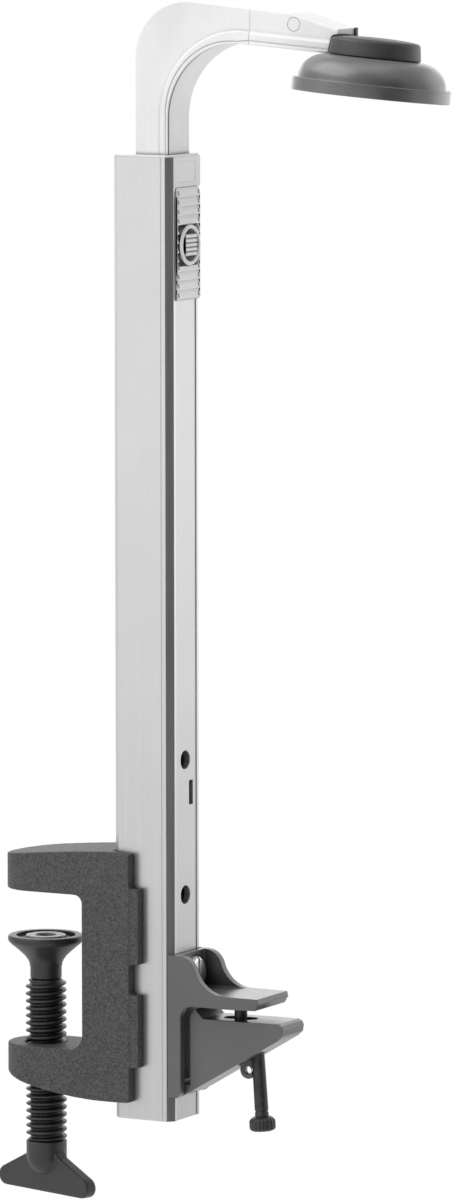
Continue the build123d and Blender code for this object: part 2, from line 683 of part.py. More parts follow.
def make_pressure_pad():
    """A flared pad whose neck turns on the screw's spigot."""
    neck_low = THREAD_Z[1]
    socket_r = SPIGOT_R + 0.08
    socket_top = SPIGOT_TOP + 0.2
    profile = [
        (socket_r, neck_low), (6.9, neck_low), (6.9, -35.0), (7.2, -33.4), (9.6, -30.2), (15.4, -24.8),
        (PAD_R - 0.4, -24.0), (PAD_R, -23.4), (PAD_R, PAD_TOP - 0.5), (PAD_R - 0.6, PAD_TOP),
        (13.0, PAD_TOP), (13.0, PAD_TOP - 1.6), (4.3, PAD_TOP - 1.6), (4.3, PAD_TOP - 4.4),
        (PAD_SCREW_R + 0.3, PAD_TOP - 4.4), (PAD_SCREW_R + 0.3, socket_top), (socket_r, socket_top),
    ]
    return turned(profile)


def make_pad_insert():
    """The raised ring let into the pad's face."""
    low = PAD_TOP - 1.6
    brow = PAD_TOP - 0.4
    return turned([(4.5, low), (8.9, low), (8.9, brow), (8.5, PAD_TOP), (4.9, PAD_TOP), (4.5, brow)])


def make_pad_screw():
    """Holds the pad on the spigot, and turns with the screw."""
    low = PAD_TOP - 4.3
    screw = rod(3.6, (0, 0, low), (0, 0, low + 2.2)) + rod(PAD_SCREW_R, (0, 0, SPIGOT_TOP - 8), (0, 0, low))
    return screw - box((-4, 4), (-0.5, 0.5), (low + 1.3, low + 3))


# ---------------------------------------------------------------- pinch bracket

def cheek_outline():
    """Edges of the bracket's side view: leg, S-shaped shoulder and shelf."""
    left = RIGHT - COLUMN_CORNER + 0.2
    foot = -86.6

    def at(x, z):
        return (x, 0, z)

    under, shelf = SHELF_Z
    return [
        Line(at(left, foot), at(left, BRACKET_TOP)),
        Line(at(left, BRACKET_TOP), at(72.8, BRACKET_TOP)),
        ThreePointArc(at(72.8, BRACKET_TOP), at(77.6, -25.6), at(80.6, -29.6)),
        ThreePointArc(at(80.6, -29.6), at(86.2, -37.6), at(95.0, shelf)),
        Line(at(95.0, shelf), at(SHELF_TIP_X - 0.6, shelf)),
        Line(at(SHELF_TIP_X - 0.6, shelf), at(SHELF_TIP_X, shelf - 2.2)),
        Line(at(SHELF_TIP_X, shelf - 2.2), at(SHELF_TIP_X - 1.8, under + 0.4)),
        Line(at(SHELF_TIP_X - 1.8, under + 0.4), at(95.0, under)),
        Line(at(95.0, under), at(80.0, under)),
        ThreePointArc(at(80.0, under), at(75.4, -47.3), at(LEG_X, -51.5)),
        Line(at(LEG_X, -51.5), at(LEG_X, foot + 2)),
        Line(at(LEG_X, foot + 2), at(LEG_X - 2, foot)),
        Line(at(LEG_X - 2, foot), at(left, foot)),
    ]


STUD_PEG_R = 2.0
SCREW_HEAD_R = 7.3
CUP_Y = around(COLUMN_Y, BRACKET_D - 2 * CHEEK_T)
PLATE_X = (RIGHT, RIGHT + 2.6)


def make_bracket_body():
    """Two cheeks that lap the column's corners, a back plate and a shelf."""
    y = around(COLUMN_Y, BRACKET_D)
    body = side_prism(cheek_outline(), y)
    body -= box((0, RIGHT), (FRONT, BACK), (-200, 0))
    body -= box((PLATE_X[1], 95.0), CUP_Y, (SHELF_Z[1], 0))
    body -= box((PLATE_X[1], 120), CUP_Y, (-200, SHELF_Z[0]))
    body -= box((PLATE_X[0] - 1, 120), CUP_Y, (-200, HINGE[1] + 4.0))
    body -= along_x(BOLT_HOLE_R, RIGHT - 2, RIGHT + 9, COLUMN_Y, BRACKET_SCREW_Z)
    body -= along_x(SCREW_HEAD_R + 0.2, PLATE_X[1], PLATE_X[1] + 3.6, COLUMN_Y, BRACKET_SCREW_Z)
    body -= rod(STUD_PEG_R, (STUD_X, COLUMN_Y, SHELF_Z[0] - 1), (STUD_X, COLUMN_Y, SHELF_Z[1] - 1.2))
    return body - make_jaw_pin()


def hinge_bar(radius, length):
    return along_y(radius, around(COLUMN_Y, length), *HINGE)


def make_jaw_pin():
    return hinge_bar(JAW_PIN_R, BRACKET_D - 3.0)


def make_bracket_screw():
    """A large slotted screw in the bracket's cup."""
    head_x = (PLATE_X[1], PLATE_X[1] + 3.4)
    head = along_x(SCREW_HEAD_R, *head_x, COLUMN_Y, BRACKET_SCREW_Z)
    head = fillet(head.edges().group_by(Axis.X)[-1], 1.2)
    shank = along_x(BOLT_R, STRIP_X[0] - 8.0, head_x[0], COLUMN_Y, BRACKET_SCREW_Z)
    slot = box((head_x[1] - 1.6, head_x[1] + 1), around(COLUMN_Y, 1.6), around(BRACKET_SCREW_Z, 16))
    return head + shank - slot


def make_bracket_nut():
    z = BRACKET_SCREW_Z
    nut = hexagon(10.0, (RAIL_X[0] - 5.0, COLUMN_Y, z), (RAIL_X[0], COLUMN_Y, z))
    return nut - along_x(BOLT_R, RAIL_X[0] - 6, RAIL_X[0] + 1, COLUMN_Y, z)


def make_guide_stud():
    """A stud under the shelf, that the jaw's slot slides past."""
    peg = rod(STUD_PEG_R, (STUD_X, COLUMN_Y, SHELF_Z[0]), (STUD_X, COLUMN_Y, SHELF_Z[1] - 1.2))
    return peg + rod(2.8, (STUD_X, COLUMN_Y, SHELF_Z[0] - 10.5), (STUD_X, COLUMN_Y, SHELF_Z[0]))


def thumb_point(distance):
    """A point along the thumb screw from its top."""
    lean = radians(THUMB_LEAN)
    return (THUMB_TOP[0] + distance * sin(lean), COLUMN_Y, THUMB_TOP[1] - distance * cos(lean))


def on_thumb(shape):
    """Hangs a shape made about +Z at the origin from the thumb screw's top, turned to point down it."""
    return Pos(THUMB_TOP[0], COLUMN_Y, THUMB_TOP[1]) * Rot(0, 180 - THUMB_LEAN, 0) * shape


JAW_OUTLINE = (
    (76.2, -50.6), (78.6, -47.2), (82.6, -51.4), (119.2, -51.0), (121.2, -51.9), (121.9, -53.6),
    (121.4, -56.4), (119.2, -58.4), (76.4, -83.9), (76.2, -80.0),
)
JAW_HOLLOW = ((74.0, -53.0), (113.0, -53.0), (115.2, -57.4), (76.4, -80.6), (74.0, -80.6))
JAW_HEEL = ((71.9, -86.2), (77.4, -83.3), (77.4, -80.4), (71.9, -83.4))
THUMB_NUT = (2.4, 5.4)


def slot_through_top():
    """The rounded slot in the jaw's upper skin that the guide stud stands in."""
    half = 3.4
    reach = 4.4
    z = (-60, -48)
    slot = box((STUD_X - reach, STUD_X + reach), around(COLUMN_Y, 2 * half), z)
    for x in (STUD_X - reach, STUD_X + reach):
        slot += rod(half, (x, COLUMN_Y, z[0]), (x, COLUMN_Y, z[1]))
    return slot


def make_pinch_jaw():
    """A hollow wedge on a barrel, slotted above for the stud, with a nut boss and an eye below."""
    y = around(COLUMN_Y, JAW_W)
    wedge = side_prism(points_xz(JAW_OUTLINE), y)
    jaw = wedge - side_prism(points_xz(JAW_HOLLOW), around(COLUMN_Y, JAW_W - 2 * JAW_SKIN))
    jaw += side_prism(points_xz(JAW_HEEL), y) + hinge_bar(1.9, JAW_W)
    jaw += rod(5.6, thumb_point(1.6), thumb_point(14)) & wedge
    eye_y = around(COLUMN_Y, 3.0)
    jaw += along_y(EYE_R[1], eye_y, *EYE) + box(around(EYE[0], 4.8), eye_y, (EYE[1], EYE[1] + 7))
    jaw -= along_y(EYE_R[0], eye_y, *EYE)
    jaw -= slot_through_top()
    jaw -= rod(THUMB_R + 0.15, thumb_point(-2), thumb_point(26))
    jaw -= hexagon(8.2, thumb_point(THUMB_NUT[0] - FIT), thumb_point(THUMB_NUT[1] + FIT))
    jaw -= hinge_bar(JAW_PIN_R + 0.06, 40)
    return largest(jaw)


def make_thumb_nut():
    nut = hexagon(8.0, thumb_point(THUMB_NUT[0]), thumb_point(THUMB_NUT[1]))
    return nut - rod(THUMB_R + 0.06, thumb_point(0), thumb_point(8))


def make_thumb_screw():
    """A slender stem with a relieved tip for its foot."""
    return on_thumb(turned([(0, 1.0), (2.2, 1.0), (THUMB_R, 1.8), (THUMB_R, STEM_END), (0, STEM_END)]))


def make_thumb_foot():
    """The swivelling foot on the stem's tip, which slides without turning."""
    return on_thumb(turned([(0, -0.6), (1.8, -0.6), (2.3, 0), (2.3, 0.9), (0, 0.9)]))


def make_thumb_knob():
    top = STEM_END
    rim_r = 5.7
    knob = [(0, top), (3.9, top), (rim_r, top + 1.8), (rim_r, top + 5.0), (5.0, top + 6.0), (0, top + 6.4)]
    flute = Pos(rim_r + 0.3, 0, top + 3.3) * Cylinder(0.55, 8)
    count = 18
    return on_thumb(turned(knob) - [Rot(0, 0, 360 * i / count) * flute for i in range(count)])


NODES = {
    "column_tube": make_column_tube,
    "front_strip": make_front_strip,
    "top_guide": make_top_guide,
    "column_end_plug": make_column_end_plug,
    "grip_plate": make_grip_plate,
    "release_button": make_release_button,
    "button_spring": make_button_spring,
    "lock_rocker": make_lock_rocker,
    "rocker_pin": make_rocker_pin,
    "lock_shoe": make_lock_shoe,
    "mast_arm": make_mast_arm,
    "mast_foot": make_mast_foot,
    "arm_nose": make_arm_nose,
    "nose_pin": make_nose_pin,
    "head_carrier": make_head_carrier,
    "bell_cap": make_bell_cap,
    "bell_cup": make_bell_cup,
    "bell_screw": make_bell_screw,
    "bell_nut": make_bell_nut,
    "clamp_frame": make_clamp_frame,
    "clamp_bolts": make_clamp_bolts,
    "clamp_nut_plate": make_clamp_nut_plate,
    "clamp_spindle": make_clamp_spindle,
    "wing_handle": make_wing_handle,
    "handle_pin": make_handle_pin,
    "pressure_pad": make_pressure_pad,
    "pad_insert": make_pad_insert,
    "pad_screw": make_pad_screw,
    "bracket_body": make_bracket_body,
    "bracket_screw": make_bracket_screw,
    "bracket_nut": make_bracket_nut,
    "jaw_pin": make_jaw_pin,
    "guide_stud": make_guide_stud,
    "pinch_jaw": make_pinch_jaw,
    "thumb_nut": make_thumb_nut,
    "thumb_screw": make_thumb_screw,
    "thumb_foot": make_thumb_foot,
    "thumb_knob": make_thumb_knob,
}

os.makedirs("parts", exist_ok=True)
for name, make in NODES.items():
    made = make()
    solids = made if isinstance(made, list) else [made]
    group = [solid for shape in solids for solid in shape.solids()]
    export_step(Compound(group) if len(group) > 1 else group[0], f"parts/{name}.step")
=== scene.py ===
"""Visual model of the bench-clamped telescopic stand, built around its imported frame."""

import json
from math import cos, pi, radians, sin, tan

import bmesh
import bpy
from mathutils import Matrix, Vector


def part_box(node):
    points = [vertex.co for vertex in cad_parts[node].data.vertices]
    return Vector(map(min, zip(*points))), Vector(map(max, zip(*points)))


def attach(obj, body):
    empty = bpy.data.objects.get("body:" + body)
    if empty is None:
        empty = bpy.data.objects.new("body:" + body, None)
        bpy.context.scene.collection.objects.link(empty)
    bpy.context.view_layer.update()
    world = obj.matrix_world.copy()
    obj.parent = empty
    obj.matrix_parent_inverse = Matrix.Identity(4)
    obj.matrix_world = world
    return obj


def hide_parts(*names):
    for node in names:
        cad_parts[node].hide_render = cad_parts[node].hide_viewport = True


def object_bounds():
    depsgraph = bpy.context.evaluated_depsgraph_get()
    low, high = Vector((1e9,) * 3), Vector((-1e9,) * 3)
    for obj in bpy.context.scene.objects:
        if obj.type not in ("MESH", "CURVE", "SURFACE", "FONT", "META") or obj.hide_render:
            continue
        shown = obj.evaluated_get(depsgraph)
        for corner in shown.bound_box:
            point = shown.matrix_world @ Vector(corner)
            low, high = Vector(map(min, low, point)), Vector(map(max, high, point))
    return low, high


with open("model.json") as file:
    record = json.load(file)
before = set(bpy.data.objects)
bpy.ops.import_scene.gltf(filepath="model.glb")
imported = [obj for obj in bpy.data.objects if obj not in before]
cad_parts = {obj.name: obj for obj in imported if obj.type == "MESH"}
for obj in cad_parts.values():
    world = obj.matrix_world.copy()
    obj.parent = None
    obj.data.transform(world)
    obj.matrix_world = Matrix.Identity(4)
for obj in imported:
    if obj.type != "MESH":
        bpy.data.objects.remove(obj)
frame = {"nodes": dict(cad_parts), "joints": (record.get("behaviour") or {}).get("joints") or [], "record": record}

CAD_BOX = [list(corner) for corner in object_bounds()]
MM = 0.001
JOINTS = {joint["name"]: joint for joint in frame["joints"]}
SLOTS = {part["node"]: part["material_slot"] for part in frame["record"]["subparts"]}
TOLERANCE = 1e-7


# ------------------------------------------------------------------ places

def node_box(node):
    """Lowest and highest corner of a node, in millimetres."""
    low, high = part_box(node)
    return Vector(low) / MM, Vector(high) / MM


def node_centre(node):
    low, high = node_box(node)
    return (low + high) / 2


def body_of(node):
    return next(body for body, members in frame["record"]["behaviour"]["bodies"].items() if node in members)


def joint_axis(name):
    """A joint's point in millimetres and its unit axis."""
    joint = JOINTS[name]
    return Vector(joint.get("pos_m", (0, 0, 0))) / MM, Vector(joint["axis"]).normalized()


def axis_frame(origin, axis):
    """The transform that stands +Z on an axis through origin, all in millimetres."""
    turn = Vector(axis).to_track_quat("Z", "Y").to_matrix().to_4x4()
    return Matrix.Translation(Vector(origin)) @ turn


# ------------------------------------------------------------------ outlines

def softened(points, radius, steps=5):
    """A closed outline whose corners become arcs. A point may carry its own radius as a third value."""
    count = len(points)
    out = []
    for i, point in enumerate(points):
        here = Vector(point[:2])
        r = point[2] if len(point) > 2 else radius
        if r <= 0:
            out.append(tuple(here))
            continue
        before = Vector(points[i - 1][:2]) - here
        after = Vector(points[(i + 1) % count][:2]) - here
        bend = before.angle(after)
        if bend > pi - 0.02:
            out.append(tuple(here))
            continue
        reach = min(r / tan(bend / 2), before.length * 0.49, after.length * 0.49)
        r_here = reach * tan(bend / 2)
        centre = here + (before.normalized() + after.normalized()).normalized() * (r_here / sin(bend / 2))
        start = here + before.normalized() * reach - centre
        sweep = (pi - bend) * (1 if before.cross(after) < 0 else -1)
        for k in range(steps + 1):
            turn = Matrix.Rotation(sweep * k / steps, 2)
            out.append(tuple(centre + turn @ start))
    return out


def arc(centre, radius, start, end, steps=12):
    """Points of an arc, by angle in degrees."""
    angles = [radians(start + (end - start) * k / steps) for k in range(steps + 1)]
    return [(centre[0] + radius * cos(a), centre[1] + radius * sin(a)) for a in angles]


def area(outline):
    return sum(a[0] * b[1] - b[0] * a[1] for a, b in zip(outline, outline[1:] + outline[:1])) / 2


def inset(outline, distance):
    """The outline moved inwards by a small distance, corner by corner."""
    side = 1 if area(outline) > 0 else -1
    out = []
    count = len(outline)
    for i in range(count):
        here = Vector(outline[i])
        before = (here - Vector(outline[i - 1])).normalized()
        after = (Vector(outline[(i + 1) % count]) - here).normalized()
        normal = Vector((-(before + after).y, (before + after).x)).normalized() * side
        lean = max(0.35, normal.dot(Vector((-before.y, before.x)) * side))
        out.append(tuple(here + normal * (distance / lean)))
    return out


# ------------------------------------------------------------------ mesh builders

def mesh_object(name, mesh):
    """Makes a linked object from a bmesh, and frees the bmesh."""
    data = bpy.data.meshes.new(name)
    mesh.to_mesh(data)
    mesh.free()
    piece = bpy.data.objects.new(name, data)
    bpy.context.scene.collection.objects.link(piece)
    return piece


def finish_mesh(name, mesh, place=None, angle=32.0):
    """Scales millimetres to metres, tidies the mesh and makes its object."""
    if place is not None:
        bmesh.ops.transform(mesh, matrix=place, verts=mesh.verts)
    bmesh.ops.scale(mesh, vec=(MM, MM, MM), verts=mesh.verts)
    bmesh.ops.remove_doubles(mesh, verts=mesh.verts, dist=TOLERANCE)
    bmesh.ops.recalc_face_normals(mesh, faces=mesh.faces)
    piece = mesh_object(name, mesh)
    smooth(piece, angle)
    return piece


def smooth(piece, angle=32.0):
    data = piece.data
    for face in data.polygons:
        face.use_smooth = True
    data.set_sharp_from_angle(angle=radians(angle))
    normals = piece.modifiers.new("normals", "WEIGHTED_NORMAL")
    normals.keep_sharp = True


def rings_to_mesh(rings):
    """Skins a stack of rings with the same number of points each, and closes both ends."""
    mesh = bmesh.new()
    rows = [[mesh.verts.new(p) for p in ring] for ring in rings]
    count = len(rows[0])
    for low, high in zip(rows, rows[1:]):
        for i in range(count):
            j = (i + 1) % count
            mesh.faces.new((low[i], low[j], high[j], high[i]))
    mesh.faces.new(list(reversed(rows[0])))
    mesh.faces.new(rows[-1])
    return mesh


PLANES = {
    "xz": lambda a, b, h: (a, h, b),
    "yz": lambda a, b, h: (h, a, b),
    "xy": lambda a, b, h: (a, b, h),
}


def prism_mesh(outline, low, high, plane="xz", rim=0.5, steps=3):
    """An outline carried from low to high across its plane, with its rims rounded."""
    turns = [pi / 2 * k / steps for k in range(steps + 1)]
    levels = [(low + rim * (1 - cos(a)), rim * (1 - sin(a))) for a in turns]
    levels += [(low + high - height, inward) for height, inward in reversed(levels)]
    put = PLANES[plane]
    rings = []
    for height, inward in levels:
        ring = inset(outline, inward) if inward > 1e-6 else outline
        rings.append([put(a, b, height) for a, b in ring])
    return rings_to_mesh(rings)


def prism(name, outline, low, high, plane="xz", rim=0.5, steps=3, angle=32.0):
    return finish_mesh(name, prism_mesh(outline, low, high, plane, rim, steps), angle=angle)


def lathe(name, profile, place, steps=96, angle=32.0):
    """Turns (radius, height) points about +Z, then stands them at place. Ends on the axis are closed."""
    mesh = bmesh.new()
    rows = []
    for r, h in profile:
        if r < 1e-6:
            rows.append([mesh.verts.new((0, 0, h))])
        else:
            ring = [(r * cos(2 * pi * k / steps), r * sin(2 * pi * k / steps), h) for k in range(steps)]
            rows.append([mesh.verts.new(p) for p in ring])
    closed = len(rows[0]) > 1
    pairs = list(zip(rows, rows[1:])) + ([(rows[-1], rows[0])] if closed else [])
    for low, high in pairs:
        for i in range(steps):
            j = (i + 1) % steps
            if len(low) == 1 and len(high) == 1:
                continue
            if len(low) == 1:
                mesh.faces.new((low[0], high[j], high[i]))
            elif len(high) == 1:
                mesh.faces.new((low[i], low[j], high[0]))
            else:
                mesh.faces.new((low[i], low[j], high[j], high[i]))
    return finish_mesh(name, mesh, place, angle)


def apply_modifiers(piece):
    """Bakes the modifier stack into the mesh."""
    bpy.context.view_layer.update()
    baked = bpy.data.meshes.new_from_object(piece.evaluated_get(bpy.context.evaluated_depsgraph_get()))
    old = piece.data
    piece.modifiers.clear()
    piece.data = baked
    baked.name = piece.name
    bpy.data.meshes.remove(old)


def combine(piece, others, operation="DIFFERENCE", angle=32.0):
    """Cuts or joins other objects into a piece, and removes them."""
    for other in others:
        modifier = piece.modifiers.new("combine", "BOOLEAN")
        modifier.operation = operation
        modifier.solver = "EXACT"
        modifier.object = other
    apply_modifiers(piece)
    for other in others:
        bpy.data.objects.remove(other)
    smooth(piece, angle)
    return piece


def moulded(name, nodes, voxel, rounds, keep_angle=1.2):
    """A moulding with softened edges, made from the shape of its CAD nodes."""
    mesh = bmesh.new()
    for node in nodes:
        mesh.from_mesh(frame["nodes"][node].data)
    piece = mesh_object(name, mesh)
    remesh = piece.modifiers.new("remesh", "REMESH")
    remesh.mode = "VOXEL"
    remesh.voxel_size = voxel * MM
    remesh.adaptivity = 0.0
    relax = piece.modifiers.new("relax", "SMOOTH")
    relax.factor = 0.5
    relax.iterations = rounds
    thin = piece.modifiers.new("thin", "DECIMATE")
    thin.decimate_type = "DISSOLVE"
    thin.angle_limit = radians(keep_angle)
    apply_modifiers(piece)
    smooth(piece, 40.0)
    return piece


# ------------------------------------------------------------------ materials

class Paint:
    """A small builder for node materials in object space."""

    def __init__(self, name):
        self.material = bpy.data.materials.new(name)
        self.material.use_nodes = True
        self.nodes = self.material.node_tree.nodes
        self.links = self.material.node_tree.links
        self.shader = self.nodes["Principled BSDF"]
        self.place = self.nodes.new("ShaderNodeTexCoord").outputs["Object"]

    def link(self, source, target):
        self.links.new(source, target)

    def stretched(self, scale):
        mapping = self.nodes.new("ShaderNodeMapping")
        mapping.inputs["Scale"].default_value = scale
        self.link(self.place, mapping.inputs["Vector"])
        return mapping.outputs["Vector"]

    def noise(self, scale, detail=3.0, rough=0.55, stretch=(1, 1, 1)):
        node = self.nodes.new("ShaderNodeTexNoise")
        node.inputs["Scale"].default_value = scale
        node.inputs["Detail"].default_value = detail
        node.inputs["Roughness"].default_value = rough
        self.link(self.stretched(stretch), node.inputs["Vector"])
        return node.outputs["Fac"]

    def cells(self, scale, stretch=(1, 1, 1)):
        node = self.nodes.new("ShaderNodeTexVoronoi")
        node.feature = "SMOOTH_F1"
        node.inputs["Scale"].default_value = scale
        node.inputs["Smoothness"].default_value = 0.6
        self.link(self.stretched(stretch), node.inputs["Vector"])
        return node.outputs["Distance"]

    def ramp(self, source, low, high, start=0.3, end=0.7):
        """Maps a 0 to 1 value to greys (or values) between two limits."""
        node = self.nodes.new("ShaderNodeMapRange")
        node.inputs["From Min"].default_value = start
        node.inputs["From Max"].default_value = end
        node.inputs["To Min"].default_value = low
        node.inputs["To Max"].default_value = high
        self.link(source, node.inputs["Value"])
        return node.outputs["Result"]

    def maths(self, operation, first, second):
        node = self.nodes.new("ShaderNodeMath")
        node.operation = operation
        for socket, value in zip(node.inputs, (first, second)):
            if isinstance(value, (int, float)):
                socket.default_value = value
            else:
                self.link(value, socket)
        return node.outputs[0]

    def mix(self, factor, first, second):
        node = self.nodes.new("ShaderNodeMix")
        node.data_type = "RGBA"
        sockets = (node.inputs["Factor"], node.inputs[6], node.inputs[7])
        for socket, value in zip(sockets, (factor, first, second)):
            if isinstance(value, (int, float)):
                socket.default_value = value
            elif isinstance(value, tuple):
                socket.default_value = (*value, 1.0)
            else:
                self.link(value, socket)
        return node.outputs[2]

    def edges(self, radius):
        """A mask that is 1 on edges tighter than radius and 0 on flat stretches."""
        bevel = self.nodes.new("ShaderNodeBevel")
        bevel.samples = 6
        bevel.inputs["Radius"].default_value = radius * MM
        geometry = self.nodes.new("ShaderNodeNewGeometry")
        dot = self.nodes.new("ShaderNodeVectorMath")
        dot.operation = "DOT_PRODUCT"
        self.link(bevel.outputs["Normal"], dot.inputs[0])
        self.link(geometry.outputs["Normal"], dot.inputs[1])
        return self.ramp(dot.outputs["Value"], 1.0, 0.0, 0.80, 0.985)

    def painted_occlusion_shade(self, value, reach, depth):
        """Darkens a grey where the surface is shut in within reach: painted shade, an occlusion shadow painted
        into the colour of cracks, creases and recesses.
        """
        node = self.nodes.new("ShaderNodeAmbientOcclusion")
        node.samples = 6
        node.inputs["Distance"].default_value = reach * MM
        return self.maths("MULTIPLY", value, self.ramp(node.outputs["AO"], 1.0 - depth, 1.0, 0.35, 0.95))

    def grey(self, value):
        node = self.nodes.new("ShaderNodeCombineColor")
        for socket in node.inputs:
            self.link(value, socket)
        return node.outputs["Color"]

    def bump(self, height, depth, normal=None):
        node = self.nodes.new("ShaderNodeBump")
        node.inputs["Strength"].default_value = 1.0
        node.inputs["Distance"].default_value = depth * MM
        self.link(height, node.inputs["Height"])
        if normal is not None:
            self.link(normal, node.inputs["Normal"])
        return node.outputs["Normal"]

    def round_normal(self, radius):
        bevel = self.nodes.new("ShaderNodeBevel")
        bevel.samples = 6
        bevel.inputs["Radius"].default_value = radius * MM
        return bevel.outputs["Normal"]

    def done(self, color, rough, normal=None, metal=0.0, coat=0.0, specular=0.5):
        self.link(color, self.shader.inputs["Base Color"])
        if isinstance(rough, (int, float)):
            self.shader.inputs["Roughness"].default_value = rough
        else:
            self.link(rough, self.shader.inputs["Roughness"])
        if normal is not None:
            self.link(normal, self.shader.inputs["Normal"])
        self.shader.inputs["Metallic"].default_value = metal
        self.shader.inputs["Coat Weight"].default_value = coat
        self.shader.inputs["Coat Roughness"].default_value = 0.25
        self.shader.inputs["Specular IOR Level"].default_value = specular
        return self.material


def drawn_aluminium(name, tone, rough):
    """Satin anodised extrusion: fine die lines along its length, faint clouding, painted shade in creases, and
    brighter edges that are partly rubbed wear and partly a painted highlight.
    """
    paint = Paint(name)
    lines_stretch = (1, 1, 0.012)
    lines = paint.noise(2600, 4.0, 0.65, lines_stretch)
    broad = paint.noise(420, 2.0, 0.5, lines_stretch)
    cloud = paint.noise(28, 3.0, 0.5)
    streak = paint.maths("ADD", paint.maths("MULTIPLY", lines, 0.6), paint.maths("MULTIPLY", broad, 0.4))
    base = paint.ramp(streak, tone * 0.93, tone * 1.05, 0.3, 0.7)
    clouded = paint.maths("MULTIPLY", base, paint.ramp(cloud, 0.975, 1.015, 0.3, 0.7))
    # Painted shade: the grey is darkened where the surface is shut in, standing in for occlusion shadow.
    shaded = paint.painted_occlusion_shade(clouded, 0.6, 0.25)
    # Brighter edges: partly rubbed wear, partly a painted highlight along the rounded edges.
    edge_wear_and_glint = paint.edges(0.12)
    color = paint.mix(edge_wear_and_glint, paint.grey(shaded), (tone * 1.08,) * 3)
    roughness = paint.ramp(streak, rough - 0.05, rough + 0.08, 0.3, 0.7)
    normal = paint.bump(streak, 0.010, paint.round_normal(0.12))
    return paint.done(color, roughness, normal, metal=0.82)


def plated_steel(name, tone=0.55, rough=0.3):
    """Zinc-plated or bright steel with a crystalline bloom and turning marks."""
    paint = Paint(name)
    bloom = paint.cells(900)
    fine = paint.noise(5200, 3.0, 0.6)
    base = paint.ramp(bloom, tone * 0.85, tone * 1.1, 0.1, 0.6)
    # Edges lightened to a pale grey: partly rubbed wear, partly a painted highlight along the edges.
    edge_wear_and_glint = paint.edges(0.2)
    color = paint.mix(edge_wear_and_glint, paint.grey(base), (0.85, 0.85, 0.85))
    roughness = paint.ramp(fine, rough - 0.06, rough + 0.12, 0.3, 0.7)
    normal = paint.bump(fine, 0.008, paint.round_normal(0.2))
    return paint.done(color, roughness, normal, metal=1.0)


def blackened_steel(name):
    """Black-oxide fasteners: near black, oily sheen, brown-grey edges that are partly rubbed wear and partly a
    painted highlight.
    """
    paint = Paint(name)
    patch = paint.noise(320, 4.0, 0.6)
    fine = paint.noise(4200, 2.0, 0.5)
    base = paint.ramp(patch, 0.018, 0.05, 0.3, 0.7)
    # Lighter edges: partly rubbed wear, partly a painted highlight.
    edge_wear_and_glint = paint.edges(0.22)
    color = paint.mix(edge_wear_and_glint, paint.grey(base), (0.16, 0.16, 0.16))
    roughness = paint.ramp(patch, 0.32, 0.5, 0.3, 0.7)
    return paint.done(color, roughness, paint.bump(fine, 0.01, paint.round_normal(0.2)), metal=0.35)


def moulded_plastic(name, tone, rough, grain, depth, wear_and_glint_tone, coat=0.0, speckle=0.0, streaks=0.0, edge=0.35,
                    reach=2.4, specular=0.5):
    """Moulded plastic: a grain of the given size and depth, mottling, painted shade in recesses, edges recoloured
    as rubbed wear and painted glints, faint flow lines.
    """
    paint = Paint(name)
    fine = paint.cells(1000.0 / grain)
    soft = paint.noise(1000.0 / (grain * 3.2), 3.0, 0.6)
    cloud = paint.noise(24, 3.0, 0.5)
    relief = paint.maths("ADD", paint.maths("MULTIPLY", fine, 0.7), paint.maths("MULTIPLY", soft, 0.5))
    base = paint.ramp(cloud, tone * 0.92, tone * 1.08, 0.3, 0.7)
    if speckle:
        dots = paint.noise(1000.0 / (grain * 1.3), 2.0, 0.7)
        base = paint.maths("ADD", base, paint.ramp(dots, -speckle, speckle, 0.32, 0.68))
    if streaks:
        flow = paint.noise(700, 3.0, 0.6, (1, 1, 0.02))
        base = paint.maths("MULTIPLY", base, paint.ramp(flow, 1 - streaks, 1 + streaks, 0.3, 0.7))
    # Painted shade: the grey darkens where the surface is shut in within reach, standing in for shadow in
    # recesses, grooves and thread roots.
    base = paint.painted_occlusion_shade(base, reach, 0.85)
    # Edges take their own tone: partly rubbed wear, partly a painted highlight such as the glints on the screw's
    # thread crests.
    edge_wear_and_glint = paint.edges(edge)
    color = paint.mix(edge_wear_and_glint, paint.grey(base), (wear_and_glint_tone, wear_and_glint_tone, wear_and_glint_tone))
    roughness = paint.ramp(relief, rough - 0.05, rough + 0.08, 0.3, 0.8)
    normal = paint.bump(relief, depth, paint.round_normal(0.25))
    return paint.done(color, roughness, normal, coat=coat, specular=specular)


def cured_rubber(name, tone):
    """Satin rubber: bloom that lightens it in clouds, fine pores, soft sheen, and edges lightened, partly rubbed
    wear and partly a painted highlight along the rim.
    """
    paint = Paint(name)
    bloom = paint.noise(55, 5.0, 0.6)
    pores = paint.cells(2600)
    base = paint.ramp(bloom, tone * 0.75, tone * 1.35, 0.3, 0.72)
    # Lighter edges: a painted highlight along the rim and shoulders, partly rubbed wear.
    edge_wear_and_glint = paint.edges(0.5)
    color = paint.mix(edge_wear_and_glint, paint.grey(base), (tone * 2.0,) * 3)
    roughness = paint.ramp(bloom, 0.34, 0.50, 0.3, 0.7)
    material = paint.done(color, roughness, paint.bump(pores, 0.02), specular=1.0, coat=0.5)
    paint.shader.inputs["Sheen Weight"].default_value = 0.25
    paint.shader.inputs["Sheen Roughness"].default_value = 0.5
    return material


